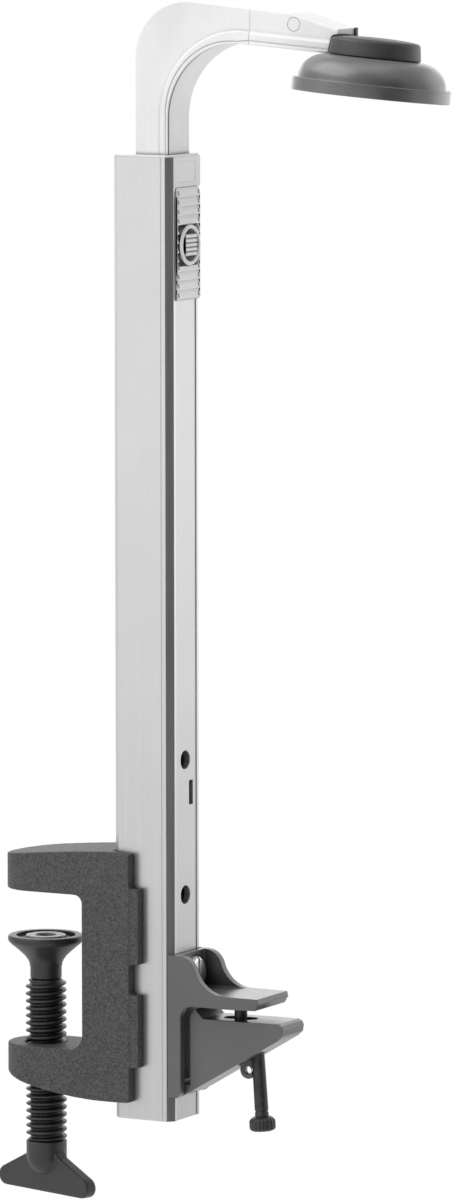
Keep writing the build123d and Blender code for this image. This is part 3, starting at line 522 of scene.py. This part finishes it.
# Each reach sets how far the painted occlusion shade spreads into a material's recesses; bracket_plastic's 9 mm
# reach paints shade across most of the bracket's hollows.
MATERIALS = {
    "column_metal": drawn_aluminium("column_metal", 0.53, rough=0.30),
    "strip_metal": drawn_aluminium("strip_metal", 0.47, rough=0.34),
    "guide_plastic": moulded_plastic("guide_plastic", 0.76, 0.5, 0.30, 0.008, 0.70, reach=0.8),
    "grip_plastic": moulded_plastic("grip_plastic", 0.74, 0.36, 0.25, 0.006, 0.86, reach=0.7),
    "mast_plastic": moulded_plastic("mast_plastic", 0.80, 0.46, 0.22, 0.006, 0.84, streaks=0.012, reach=1.8,
                                    specular=0.25),
    "steel": plated_steel("steel"),
    "black_steel": blackened_steel("black_steel"),
    "screw_head_metal": plated_steel("screw_head_metal", 0.72, 0.2),
    "head_plastic": moulded_plastic("head_plastic", 0.042, 0.44, 0.35, 0.02, 0.10, speckle=0.012),
    "bell_rubber": cured_rubber("bell_rubber", 0.062),
    "clamp_plastic": moulded_plastic("clamp_plastic", 0.050, 0.56, 0.60, 0.10, 0.09, speckle=0.035),
    "screw_plastic": moulded_plastic("screw_plastic", 0.022, 0.40, 0.40, 0.02, 0.07),
    "pad_plastic": moulded_plastic("pad_plastic", 0.20, 0.36, 0.30, 0.01, 0.30),
    "bracket_plastic": moulded_plastic("bracket_plastic", 0.095, 0.32, 0.30, 0.006, 0.20, coat=0.2,
                                       reach=9.0),
    "knob_plastic": moulded_plastic("knob_plastic", 0.030, 0.42, 0.25, 0.01, 0.09),
}


def add_piece(piece, neighbour, slot):
    """Gives a piece its slot and material, and the body that its neighbouring node is on."""
    piece.data.materials.clear()
    piece.data.materials.append(MATERIALS[slot])
    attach(piece, body_of(neighbour))


def place_piece(piece, node):
    """Gives a piece its node's body, slot and material, and hides the node it stands for."""
    add_piece(piece, node, SLOTS[node])
    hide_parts(node)


# ------------------------------------------------------------------ column

CORNER = 2.8
CORNER_EASE = 0.35
WALL = 1.6
STRIP_HALF = 9.1
STRIP_THICK = 1.8
STRIP_RECESS = 0.4
GROOVE_WIDE = 0.5


def column_outline():
    """The C-section: chamfered corners, two hairline grooves and the lips beside the strip."""
    low, high = node_box("column_tube")
    middle = (low.y + high.y) / 2
    gap = 0.02
    mouth = STRIP_HALF + gap
    groove_x = high.x - CORNER - 2.2
    hair = 0.12
    ease = CORNER_EASE
    outer = [(high.x, middle - mouth, 0.25), (high.x, low.y + CORNER, ease), (high.x - CORNER, low.y, ease)]
    outer += [(groove_x + GROOVE_WIDE, low.y, 0.1), (groove_x + 0.4, low.y + hair, 0.05)]
    outer += [(groove_x + 0.1, low.y + hair, 0.05), (groove_x, low.y, 0.1)]
    outer += [(low.x + CORNER, low.y, ease), (low.x, low.y + CORNER, ease)]
    outer += [(low.x, high.y - CORNER, ease), (low.x + CORNER, high.y, ease), (groove_x, high.y, 0.1)]
    outer += [(groove_x + 0.1, high.y - hair, 0.05), (groove_x + 0.4, high.y - hair, 0.05)]
    outer += [(groove_x + GROOVE_WIDE, high.y, 0.1)]
    outer += [(high.x - CORNER, high.y, ease), (high.x, high.y - CORNER, ease)]
    outer += [(high.x, middle + mouth, 0.25), (high.x - WALL, middle + mouth, 0.1)]
    corner = CORNER - WALL / 2
    x = (low.x + WALL, high.x - WALL)
    y = (low.y + WALL, high.y - WALL)
    outer += [(x[1], y[1] - corner, 0.1), (x[1] - corner, y[1], 0.1), (x[0] + corner, y[1], 0.1)]
    outer += [(x[0], y[1] - corner, 0.1), (x[0], y[0] + corner, 0.1), (x[0] + corner, y[0], 0.1)]
    outer += [(x[1] - corner, y[0], 0.1), (x[1], y[0] + corner, 0.1), (x[1], middle - mouth, 0.1)]
    return softened(outer, 0.2, 3)


def build_column():
    low, high = node_box("column_tube")
    tube = prism("column", column_outline(), low.z, high.z, "xy", rim=0.15, steps=2, angle=24.0)
    place_piece(tube, "column_tube")


def prism_tool(outline, low, high, plane="yz"):
    """A sharp-edged cutter."""
    return finish_mesh("cutter", prism_mesh(outline, low, high, plane, 0.001, 1))


def cylinder_tool(centre, axis, radius, half_length, flare=0.0):
    """A round cutter, with a flared mouth at its far end."""
    profile = [(0, -half_length), (radius, -half_length), (radius, 0)]
    if flare:
        profile += [(radius + flare, flare)]
        profile += [(radius + flare + 0.01, half_length), (0, half_length)]
    else:
        profile += [(radius, half_length), (0, half_length)]
    return lathe("cutter", profile, axis_frame(centre, axis), 64)


def slot_outline(y, z, radius):
    return softened([(y[0], z[0]), (y[1], z[0]), (y[1], z[1]), (y[0], z[1])], radius, 4)


def build_strip():
    """The inset strip with its rail, round holes with broken edges, slot and button window."""
    low, high = node_box("front_strip")
    middle = (low.y + high.y) / 2
    face_low = node_box("column_tube")[1].x - STRIP_RECESS - STRIP_THICK
    half = STRIP_HALF
    section = [(face_low, middle - half), (high.x, middle - half, 0.3), (high.x, middle + half, 0.3)]
    section += [(face_low, middle + half)]
    plate = prism("strip", softened(section, 0.1, 3), low.z, high.z, "xy", rim=0.1, steps=1, angle=24.0)
    rail_top = node_box("top_guide")[0].z - 1
    rail_section = [(low.x, low.y), (face_low + 0.6, low.y), (face_low + 0.6, high.y), (low.x, high.y)]
    rail = prism("rail", softened(rail_section, 0.2, 2), low.z + 9, rail_top, "xy", rim=0.2, steps=1)
    combine(plate, [rail], "UNION", 24.0)
    hole_y = frame["record"]["mounts"][1]["pos_m"][1] / MM
    hole_r = frame["record"]["mounts"][1]["dims"]["r_mm"]
    cutters = []
    for mount in frame["record"]["mounts"][1:]:
        centre = (high.x - 0.25, hole_y, mount["pos_m"][2] / MM)
        cutters.append(cylinder_tool(centre, (1, 0, 0), hole_r, 8, 0.25))
    upper = frame["record"]["mounts"][1]["pos_m"][2] / MM
    slot_z = (upper - 20.0, upper - 9.3)
    slot = slot_outline((hole_y + 3.3, hole_y + 6.8), slot_z, 0.4)
    cutters.append(prism_tool(slot, high.x - 8, high.x + 5))
    screw = node_centre("bracket_screw")
    cutters.append(cylinder_tool((high.x, screw.y, screw.z), (1, 0, 0), 3.1, 8))
    rocker_low, rocker_high = node_box("rocker_pin")
    window_z = (rocker_low.z - 9.1, rocker_low.z + 9.9)
    window = slot_outline((rocker_low.y + 2, rocker_high.y - 2), window_z, 0.5)
    cutters.append(prism_tool(window, high.x - 8, high.x + 5))
    combine(plate, cutters, "DIFFERENCE", 24.0)
    place_piece(plate, "front_strip")


# ------------------------------------------------------------------ clamp

def helix_height(fraction, profile):
    """Crest height, 0 to 1, at a fraction of the pitch."""
    fraction %= 1.0
    points = profile + [(1.0, 0.0)]
    for (a, h_a), (b, h_b) in zip(points, points[1:]):
        if a <= fraction <= b:
            return h_a + (h_b - h_a) * (fraction - a) / max(1e-9, b - a)
    return 0.0


THREAD_FORM = [(0.0, 0.0), (0.16, 0.02), (0.26, 0.14), (0.44, 0.86), (0.52, 0.98), (0.60, 1.0), (0.68, 0.98),
               (0.76, 0.86), (0.94, 0.14)]


def build_spindle():
    """The clamp's threaded bar, with a true right-hand helix between its plain ends."""
    low, high = node_box("clamp_spindle")
    pitch, crest, root = 3.25, 9.0, 7.0
    hub_top = node_box("wing_handle")[1].z
    thread_high = node_box("pressure_pad")[0].z - 0.4
    start, end = hub_top - 0.6, thread_high
    sides = 72
    rows_per_pitch = 13
    rows = int((end - start) / pitch * rows_per_pitch)
    rings = []
    fade = 1.6
    for row in range(rows + 1):
        z = start + (end - start) * row / rows
        near = min(1.0, max(0.0, (z - start) / fade), max(0.0, (end - z) / fade))
        ring = []
        for k in range(sides):
            turn = k / sides
            lift = helix_height((z - start) / pitch - turn, THREAD_FORM) * near
            r = root + (crest - root) * lift
            ring.append((r * cos(2 * pi * turn), r * sin(2 * pi * turn), z))
        rings.append(ring)

    def plain(r, z):
        return [(r * cos(2 * pi * k / sides), r * sin(2 * pi * k / sides), z) for k in range(sides)]

    rings = [plain(5.0, low.z), plain(5.0, start)] + rings + [plain(5.0, end + 0.001), plain(5.0, high.z)]
    bar = finish_mesh("clamp_screw", rings_to_mesh(rings), angle=50.0)
    place_piece(bar, "clamp_spindle")


DISH_DEEP = 1.6


def build_pad():
    """The flared pad and its neck, with a collar step, a sharp rim and a dished face."""
    low, high = node_box("pressure_pad")
    top = high.z
    floor = top - DISH_DEEP
    pad_r = (high.x - low.x) / 2
    profile = [(5.1, low.z), (6.5, low.z), (6.9, low.z + 0.4), (6.9, top - 14.2), (7.15, top - 13.6)]
    profile += [(7.2, top - 12.6), (7.9, top - 11.0), (9.4, top - 9.0), (12.0, top - 6.6), (15.2, top - 3.9)]
    profile += [(15.9, top - 3.3), (pad_r - 0.5, top - 2.9), (pad_r - 0.05, top - 2.4), (pad_r, top - 2.0)]
    profile += [(pad_r, top - 0.9), (pad_r - 0.2, top - 0.35), (pad_r - 0.7, top)]
    profile += [(13.3, top), (13.05, top - 0.2), (13.0, floor), (4.3, floor)]
    profile += [(4.3, top - 4.4), (2.2, top - 4.4), (2.2, top - 6.4), (5.1, top - 6.4)]
    pad = lathe("pressure_pad_flare", profile, axis_frame((0, 0, 0), (0, 0, 1)), 128, 40.0)
    place_piece(pad, "pressure_pad")
    ring = [(4.5, floor), (8.9, floor), (8.9, top - 0.5), (8.6, top - 0.1), (8.2, top)]
    ring += [(5.2, top), (4.7, top - 0.15), (4.5, top - 0.5)]
    insert = lathe("pad_ring", ring, axis_frame((0, 0, 0), (0, 0, 1)), 96, 40.0)
    place_piece(insert, "pad_insert")


def build_clamp():
    frame_piece = moulded("clamp_casting", ["clamp_frame"], 0.55, 3)
    place_piece(frame_piece, "clamp_frame")
    handle = moulded("wing", ["wing_handle"], 0.45, 3)
    place_piece(handle, "wing_handle")


# ------------------------------------------------------------------ gooseneck

WEB_STEP = 1.15
TOP_EDGE = 1.1
OUTER_R = 24.2
INNER_R = 33.0
LIP_R = 38.2
TOP_DROOP = 4.3
UNDER_DROOP = 4.5


def arm_bends():
    """Centre x, centre z and radius of the arm's outer, inner and lip bends."""
    low, high = node_box("mast_arm")
    outer = (low.x + OUTER_R, high.z - OUTER_R, OUTER_R)
    inner = (low.x + 49.5, high.z - 50.6, INNER_R)
    lip = (low.x + 50.5, high.z - 50.2, LIP_R)
    return outer, inner, lip


def arm_edge(bend, droop, x):
    """Height of the drooping edge that leaves a bend, at x."""
    lean = radians(90 - droop)
    return bend[1] + bend[2] * sin(lean) - (x - bend[0] - bend[2] * cos(lean)) * tan(radians(droop))


def bend_path(bend, droop, bottom, x_end, steps=30):
    """Points up the mast, round a bend and out along the arm."""
    path = [(bend[0] - bend[2], bottom), (bend[0] - bend[2], bend[1])]
    path += arc(bend[:2], bend[2], 180, 90 - droop, steps)[1:]
    return path + [(x_end, arm_edge(bend, droop, x_end))]


def rail_ring(inner, lip, outer, near, far):
    """The moulding's section at one station: parting groove, stepped lips, web and rounded back."""
    inner, lip, outer = Vector(inner), Vector(lip), Vector(outer)
    way = (outer - inner).normalized()
    parting = [(inner, 1.8), (inner + way * 1.5, 1.7), (inner + way * 1.5, 0.9), (inner, 0.8)]
    half = [(inner + way * reach, step) for reach, step in ((0.0, 0.3), (0.1, 0.1), (0.3, 0.0))]
    lip_groove = ((1.45, 0.0), (1.6, 0.25), (1.95, 0.25), (2.1, 0.0))
    half += [(inner + way * reach, step) for reach, step in lip_groove]
    half.append((lip - way * 1.3, 0.0))
    half.append((lip - way * 1.05, 0.08))
    half.append((lip - way * 0.15, WEB_STEP - 0.08))
    half.append((lip + way * 0.1, WEB_STEP))
    for k in range(4):
        turn = pi / 2 * k / 3
        half.append((outer - way * TOP_EDGE * (1 - sin(turn)), WEB_STEP + TOP_EDGE * (1 - cos(turn))))
    front = [(p.x, near + step, p.y) for p, step in parting + half]
    back = [(p.x, far - step, p.y) for p, step in reversed(half)]
    return front + back


def build_gooseneck():
    low, high = node_box("mast_arm")
    bends = arm_bends()
    seam = node_box("arm_nose")[0].x + 12.0
    paths = [bend_path(bend, droop, low.z, seam - 0.06)
             for bend, droop in zip(bends, (TOP_DROOP, UNDER_DROOP, UNDER_DROOP))]
    rings = [rail_ring(i, l, o, low.y, high.y) for o, i, l in zip(*paths)]
    neck = finish_mesh("gooseneck", rings_to_mesh(rings), angle=24.0)
    place_piece(neck, "mast_arm")
    return seam


def bell_frame():
    """The bell's own frame: +Z up its swivel axis, +X out along the arm."""
    point, axis = joint_axis("bell_swivel")
    across = Vector((0, 1, 0)).cross(axis).normalized()
    turn = Matrix((across, axis.cross(across), axis)).transposed().to_4x4()
    return Matrix.Translation(point) @ turn


def cap_profile(around=0.0, above=0.0):
    """The cap's side, rounded shoulder and low crown about the bell's axis."""
    profile = [(19.9, 16.9), (19.15, 22.5), (19.02, 22.95), (18.75, 23.4), (18.3, 23.75), (17.6, 24.0)]
    profile += [(15.0, 24.4), (12.0, 24.65), (8.0, 24.85), (4.0, 24.97), (0, 25.0)]
    return [(r + around if r else 0, z + above) for r, z in profile]


def build_nose(seam):
    """The nose: the same section tapering to the tip, hollowed over the cap, with a flush round pin."""
    high = node_box("arm_nose")[1]
    arm_low, arm_high = node_box("mast_arm")
    outer, inner, lip = arm_bends()
    slope = ((arm_low.x + 76.9, arm_high.z - 4.4), (arm_low.x + 97.9, arm_high.z - 10.7))
    stations = [seam + 0.06, slope[0][0] - 0.8, slope[0][0], slope[0][0] + 0.8, slope[1][0], high.x]
    rings = []
    for x in stations:
        sloped = slope[0][1] + (x - slope[0][0]) * (slope[1][1] - slope[0][1]) / (slope[1][0] - slope[0][0])
        top = min(arm_edge(outer, TOP_DROOP, x), sloped)
        under = arm_edge(inner, UNDER_DROOP, x)
        ledge = arm_edge(lip, UNDER_DROOP, x)
        rings.append(rail_ring((x, under), (x, ledge), (x, top), arm_low.y, arm_high.y))
    nose = finish_mesh("nose", rings_to_mesh(rings), angle=24.0)
    place = bell_frame()
    hollow = [(0, -10), (20.02, -10)] + cap_profile(0.12, 0.5)
    pin = node_box("nose_pin")
    pin_r = (pin[1].x - pin[0].x) / 2
    middle = (pin[0] + pin[1]) / 2
    hole = cylinder_tool(middle, (0, 1, 0), pin_r + 0.06, 30)
    combine(nose, [lathe("cutter", hollow, place, 96), hole], "DIFFERENCE", 24.0)
    place_piece(nose, "arm_nose")
    half = (pin[1].y - pin[0].y) / 2
    face = [(0, -half - 0.05), (pin_r - 0.3, -half - 0.05), (pin_r - 0.06, -half + 0.1)]
    face += [(pin_r - 0.04, -half + 0.5)]
    face += [(r, -h) for r, h in reversed(face)]
    place_piece(lathe("nose_pin_disc", face, axis_frame(middle, (0, 1, 0)), 48), "nose_pin")


# ------------------------------------------------------------------ bell

def build_bell():
    """The bell, turned about its swivel axis: thick rim, full rounded dome, hollow below."""
    place = bell_frame()
    rim_r, rim_h, dome_r, dome_top, flat_r, shell = 34.1, 5.5, 31.8, 16.2, 19.5, 2.4
    rise = dome_top - rim_h
    profile = [(rim_r - 3.0, 0.1), (rim_r - 2.7, -0.25), (rim_r - 0.5, -0.25)]
    profile += [(rim_r - 0.15, -0.1), (rim_r, 0.3)]
    profile += [(rim_r, rim_h - 0.7), (rim_r - 0.15, rim_h - 0.2), (rim_r - 0.5, rim_h), (rim_r - 0.9, rim_h)]
    profile += [(dome_r + 0.55, rim_h - 0.25), (dome_r + 0.2, rim_h - 0.15), (dome_r, rim_h + 0.2)]
    steps = 24
    quarter = [pi / 2 * k / steps for k in range(2, steps + 1)]
    profile += [(flat_r + (dome_r - flat_r) * cos(a), rim_h + rise * sin(a)) for a in quarter]
    profile += [(3.3, dome_top), (3.06, dome_top - 0.2), (3.06, dome_top - shell)]
    inner = [(flat_r - shell + (dome_r - flat_r) * cos(a), rim_h - shell + rise * sin(a)) for a in quarter]
    profile += list(reversed(inner)) + [(rim_r - 3.0, rim_h - shell)]
    place_piece(lathe("bell", profile, place, 160, 30.0), "bell_cup")
    cap = lathe("bell_knob", [(0, 16.4), (19.2, 16.4), (19.7, 16.5)] + cap_profile(), place, 128, 30.0)
    tongue = [(-25, -4.6), (0, -4.6), (0, 4.6), (-25, 4.6)]
    slot = finish_mesh("cutter", prism_mesh(tongue, 19.1, 22.1, "xy", 0.001, 1), place)
    dimple = lathe("cutter", [(0, 24.0), (0.7, 24.05), (1.1, 24.3), (1.25, 25.4), (0, 25.4)],
                   place @ Matrix.Translation((-10.4, -5.0, 0)), 32)
    combine(cap, [slot, dimple], "DIFFERENCE", 30.0)
    tip = node_box("arm_nose")[1]
    x = (tip.x + 0.1, tip.x + 0.9)
    z = (tip.z - 15.5, tip.z - 8.2)
    tab_outline = softened([(x[0], z[0]), (x[1], z[0]), (x[1], z[1]), (x[0], z[1])], 0.25, 3)
    tab = prism("stop", tab_outline, 8.9, 11.1, "xz", 0.2, 2)
    combine(cap, [tab], "UNION", 30.0)
    place_piece(cap, "bell_cap")


# ------------------------------------------------------------------ grip and thumb screw

def merge(piece, others):
    """Adds the meshes of other pieces to a piece, as separate shells, and removes them."""
    mesh = bmesh.new()
    for part in [piece] + others:
        mesh.from_mesh(part.data)
    mesh.to_mesh(piece.data)
    mesh.free()
    for other in others:
        bpy.data.objects.remove(other)
    smooth(piece, 30.0)
    return piece


BUTTON_TRAVEL = 0.8


def build_button():
    """The release button: a proud round ring about a finely ribbed island, clear of its seat when pressed."""
    low, high = node_box("release_button")
    middle = node_centre("release_button")
    radius = (high.z - low.z) / 2
    face = high.x - 0.9
    back = face - 1.8 + BUTTON_TRAVEL
    place = axis_frame((0, middle.y, middle.z), (1, 0, 0))
    wall = 1.7
    ring = [(radius - wall, back), (radius, back), (radius, face - 0.7), (radius - 0.25, face - 0.2)]
    ring += [(radius - 0.7, face), (radius - wall + 0.5, face), (radius - wall + 0.1, face - 0.25)]
    ring += [(radius - wall, face - 0.7)]
    button = lathe("button_ring", ring, place, 96, 30.0)
    count = 5
    pitch = 1.9
    top = face + 0.1
    start = middle.z - count * pitch / 2
    section = [(back, start)]
    for k in range(count):
        z = start + k * pitch
        section += [(top - 0.8, z + 0.1), (top, z + 0.45), (top, z + 1.25), (top - 0.3, z + 1.65)]
    section += [(back, start + count * pitch)]
    island = prism("island", section, middle.y - 4.8, middle.y + 5.0, "xz", 0.2, 2)
    place_piece(merge(button, [island]), "release_button")


BUTTON_SEAT = 9.0


def build_grip():
    """The grip plate: shingled ribs with a notch at each end, round a square opening for the button, with a
    near-black sheet behind the opening as painted shadow.
    """
    low, high = node_box("grip_plate")
    button = node_centre("release_button")
    pitch = 4.0
    count = int((high.z - low.z) / pitch)
    start = (low.z + high.z - count * pitch) / 2
    section = [(low.x, low.z), (high.x - 0.6, low.z)]
    for k in range(count):
        z = start + k * pitch
        section += [(high.x - 0.75, z + 0.15), (high.x - 0.1, z + 0.5), (high.x, z + 1.0)]
        section += [(high.x - 0.3, z + 2.6), (high.x - 0.75, z + 3.7)]
    section += [(high.x - 0.6, high.z), (low.x, high.z)]
    grip = prism("grip", softened(section, 0.1, 2), low.y, high.y, "xz", rim=0.25, steps=2, angle=28.0)
    cutters = []
    for k in range(count):
        z = start + k * pitch + 2.1
        for y in (low.y + 1.1, high.y - 1.5):
            notch = slot_outline((y - 0.6, y + 0.6), (z - 0.95, z + 0.95), 0.2)
            cutters.append(prism_tool(notch, high.x - 0.9, high.x + 1))
    combine(grip, cutters, "DIFFERENCE", 28.0)
    seat = slot_outline((button.y - BUTTON_SEAT, button.y + BUTTON_SEAT),
                        (button.z - BUTTON_SEAT, button.z + BUTTON_SEAT), 1.2)
    combine(grip, [prism_tool(seat, low.x - 1, high.x + 1)], "DIFFERENCE", 28.0)
    place_piece(grip, "grip_plate")
    # Painted shadow: a thin near-black sheet at the back of the button's opening stands in for the shade in the
    # deep well.
    well_shadow_sheet = prism("button_well_painted_shadow", inset(seat, 0.15), low.x - 0.05, low.x + 0.05, "yz", rim=0.02, steps=1)
    add_piece(well_shadow_sheet, "grip_plate", "knob_plastic")


def build_collar():
    """The front apron of the column's guide, with a shallow square panel in its face."""
    low, high = node_box("column_tube")
    grip = node_box("grip_plate")[1].z
    outline = slot_outline((low.y + CORNER, high.y - 0.9), (grip + 0.3, high.z), 0.2)
    apron = prism("collar_apron", outline, high.x - 0.4, high.x + 0.15, "yz", rim=0.1, steps=2)
    middle = (low.y + high.y) / 2
    panel = slot_outline((middle - 7.5, middle + 8.5), (grip + 2.2, high.z - 2.0), 0.5)
    combine(apron, [prism_tool(panel, high.x + 0.05, high.x + 2)], "DIFFERENCE", 28.0)
    add_piece(apron, "top_guide", "guide_plastic")


def build_stem():
    """The thumb screw: a stem that swells a little below the jaw, with a collar above its knob."""
    point, axis = joint_axis("thumb_screw_turn")
    place = axis_frame(point, -axis)
    radius = 2.9
    wide = radius + 0.1
    waist = radius - 0.2
    end = 36.4
    profile = [(0, 1.0), (2.0, 1.0), (radius - 0.35, 1.7), (radius - 0.1, 9.5), (radius, 20.0)]
    profile += [(wide, end - 3.2), (wide, end - 2.9), (waist, end - 2.6), (waist, end - 2.2)]
    profile += [(wide, end - 1.9), (wide, end), (0, end)]
    place_piece(lathe("thumb_stem", profile, place, 64, 30.0), "thumb_screw")
    rim = 5.7
    flutes = 20
    around = 240
    flute_deep = 0.32
    levels = [(0.0, 3.9, 0), (0.5, 4.7, 0.3), (1.3, 5.45, 0.8), (1.9, rim, 1), (4.9, rim, 1)]
    levels += [(5.6, 5.3, 0.5), (6.1, 4.4, 0)]
    rings = []
    for height, r, cut in levels:
        ring = []
        for k in range(around):
            turn = 2 * pi * k / around
            reach = r - flute_deep * cut * max(0.0, cos(turn * flutes)) ** 0.6
            ring.append(place @ Vector((reach * cos(turn), reach * sin(turn), end + height)))
        rings.append(ring)
    place_piece(finish_mesh("thumb_wheel", rings_to_mesh(rings), angle=38.0), "thumb_knob")


# ------------------------------------------------------------------ build

build_column()
build_strip()
build_spindle()
build_pad()
build_clamp()
nose_seam = build_gooseneck()
build_nose(nose_seam)
build_bell()
build_button()
build_grip()
build_collar()
build_stem()
place_piece(moulded("bracket", ["bracket_body"], 0.33, 2), "bracket_body")
place_piece(moulded("jaw", ["pinch_jaw"], 0.33, 2), "pinch_jaw")


def paint_frame():
    """Every CAD node that still shows takes its slot's material."""
    for name, node in frame["nodes"].items():
        material = MATERIALS[SLOTS[name]]
        if not node.data.materials:
            node.data.materials.append(material)
        for i in range(len(node.material_slots)):
            node.material_slots[i].material = material


paint_frame()


# ------------------------------------------------------------------ studio

FLOOR_RADIUS = 45.0
FLOOR_GAP = 0.06
FLAG_AZIMUTH = 62.0
FLAG_DISTANCE = 0.9
LIGHT_TARGET = (0.08, 0.0, 0.12)
SKY_STRENGTH = 0.56
LENS = 237.6
SENSOR = 36.0
CAMERA_PLACE = (1.7083, -2.9857, 0.5057)
CAMERA_TARGET = (0.0814, 0.0170, 0.1289)
CAMERA_ROLL = -0.069


def paper_material():
    """Pale paper: evenly lit to the camera and in reflections, matt card to every other ray."""
    paint = Paint("floor_paper")
    cloud = paint.ramp(paint.noise(1.5, 2.0, 0.5), 0.88, 0.92)
    paint.done(paint.grey(cloud), 0.9, specular=0.0)
    glow = paint.nodes.new("ShaderNodeEmission")
    glow.inputs["Color"].default_value = (1.0, 1.0, 1.0, 1.0)
    ray = paint.nodes.new("ShaderNodeLightPath")
    blend = paint.nodes.new("ShaderNodeMixShader")
    output = paint.nodes["Material Output"]
    seen = paint.maths("MAXIMUM", ray.outputs["Is Camera Ray"], ray.outputs["Is Glossy Ray"])
    paint.link(seen, blend.inputs["Fac"])
    paint.link(paint.shader.outputs["BSDF"], blend.inputs[1])
    paint.link(glow.outputs["Emission"], blend.inputs[2])
    paint.link(blend.outputs["Shader"], output.inputs["Surface"])
    return paint.material


def flag_material():
    paint = Paint("flag_cloth")
    weave = paint.ramp(paint.noise(900, 2.0, 0.5), 0.008, 0.014)
    return paint.done(paint.grey(weave), 0.9, specular=0.0)


def build_floor():
    mesh = bmesh.new()
    bmesh.ops.create_circle(mesh, cap_ends=True, segments=96, radius=FLOOR_RADIUS)
    floor = mesh_object("floor", mesh)
    floor.location = (0, 0, CAD_BOX[0][2] - FLOOR_GAP)
    floor.data.materials.append(paper_material())


def softbox(name, azimuth, elevation, distance, size, power):
    """An area light that looks at the middle of the object."""
    light = bpy.data.lights.new(name, "AREA")
    light.shape = "RECTANGLE"
    light.size, light.size_y = size
    light.energy = power
    lamp = bpy.data.objects.new(name, light)
    lamp.visible_camera = False
    bpy.context.scene.collection.objects.link(lamp)
    a, e = radians(azimuth), radians(elevation)
    way = Vector((sin(a) * cos(e), -cos(a) * cos(e), sin(e)))
    lamp.location = Vector(LIGHT_TARGET) + way * distance
    lamp.rotation_euler = (-way).to_track_quat("-Z", "Y").to_euler()


def black_flag():
    """A dark card and a mat at its foot, beside the camera and seen only in reflections."""
    mesh = bmesh.new()
    half = 0.36
    top = 0.9
    foot = CAD_BOX[0][2] - 0.05
    card = [(-half, 0, foot), (half, 0, foot), (half, 0, top), (-half, 0, top)]
    mat = [(-0.06, 0.8, foot), (0.06, 0.8, foot), (half, 0, foot), (-half, 0, foot)]
    for corners in (card, mat):
        mesh.faces.new([mesh.verts.new(c) for c in corners])
    flag = mesh_object("flag", mesh)
    a = radians(FLAG_AZIMUTH)
    flag.location = (0.07 + sin(a) * FLAG_DISTANCE, -cos(a) * FLAG_DISTANCE, 0.0)
    flag.rotation_euler = (0, 0, a)
    flag.data.materials.append(flag_material())
    flag.visible_camera = False
    flag.visible_diffuse = False
    flag.visible_shadow = False


def build_world():
    world = bpy.data.worlds.new("studio")
    world.use_nodes = True
    sky = world.node_tree.nodes["Background"]
    sky.inputs["Color"].default_value = (1.0, 1.0, 1.0, 1.0)
    sky.inputs["Strength"].default_value = SKY_STRENGTH
    bpy.context.scene.world = world


def build_camera():
    """A long lens, a little above the object and off its front corner."""
    data = bpy.data.cameras.new("camera")
    data.lens = LENS
    data.sensor_width = SENSOR
    data.clip_end = 100.0
    camera = bpy.data.objects.new("camera", data)
    bpy.context.scene.collection.objects.link(camera)
    camera.location = CAMERA_PLACE
    turn = (Vector(CAMERA_TARGET) - camera.location).to_track_quat("-Z", "Y").to_matrix().to_4x4()
    roll = Matrix.Rotation(radians(CAMERA_ROLL), 4, "Z")
    camera.rotation_euler = (turn @ roll).to_euler()
    bpy.context.scene.camera = camera


build_floor()
softbox("key", -34, 14, 2.0, (2.2, 2.6), 12.5)
softbox("side", 151, 8, 1.8, (1.5, 2.0), 9.5)
softbox("top", -58, 58, 1.3, (1.5, 0.8), 9)
softbox("zenith", 25, 85, 1.3, (0.9, 0.9), 2.5)
softbox("back", 209, 13, 1.7, (1.8, 0.9), 8)
black_flag()
build_world()
build_camera()
bpy.context.scene.view_settings.view_transform = "Standard"
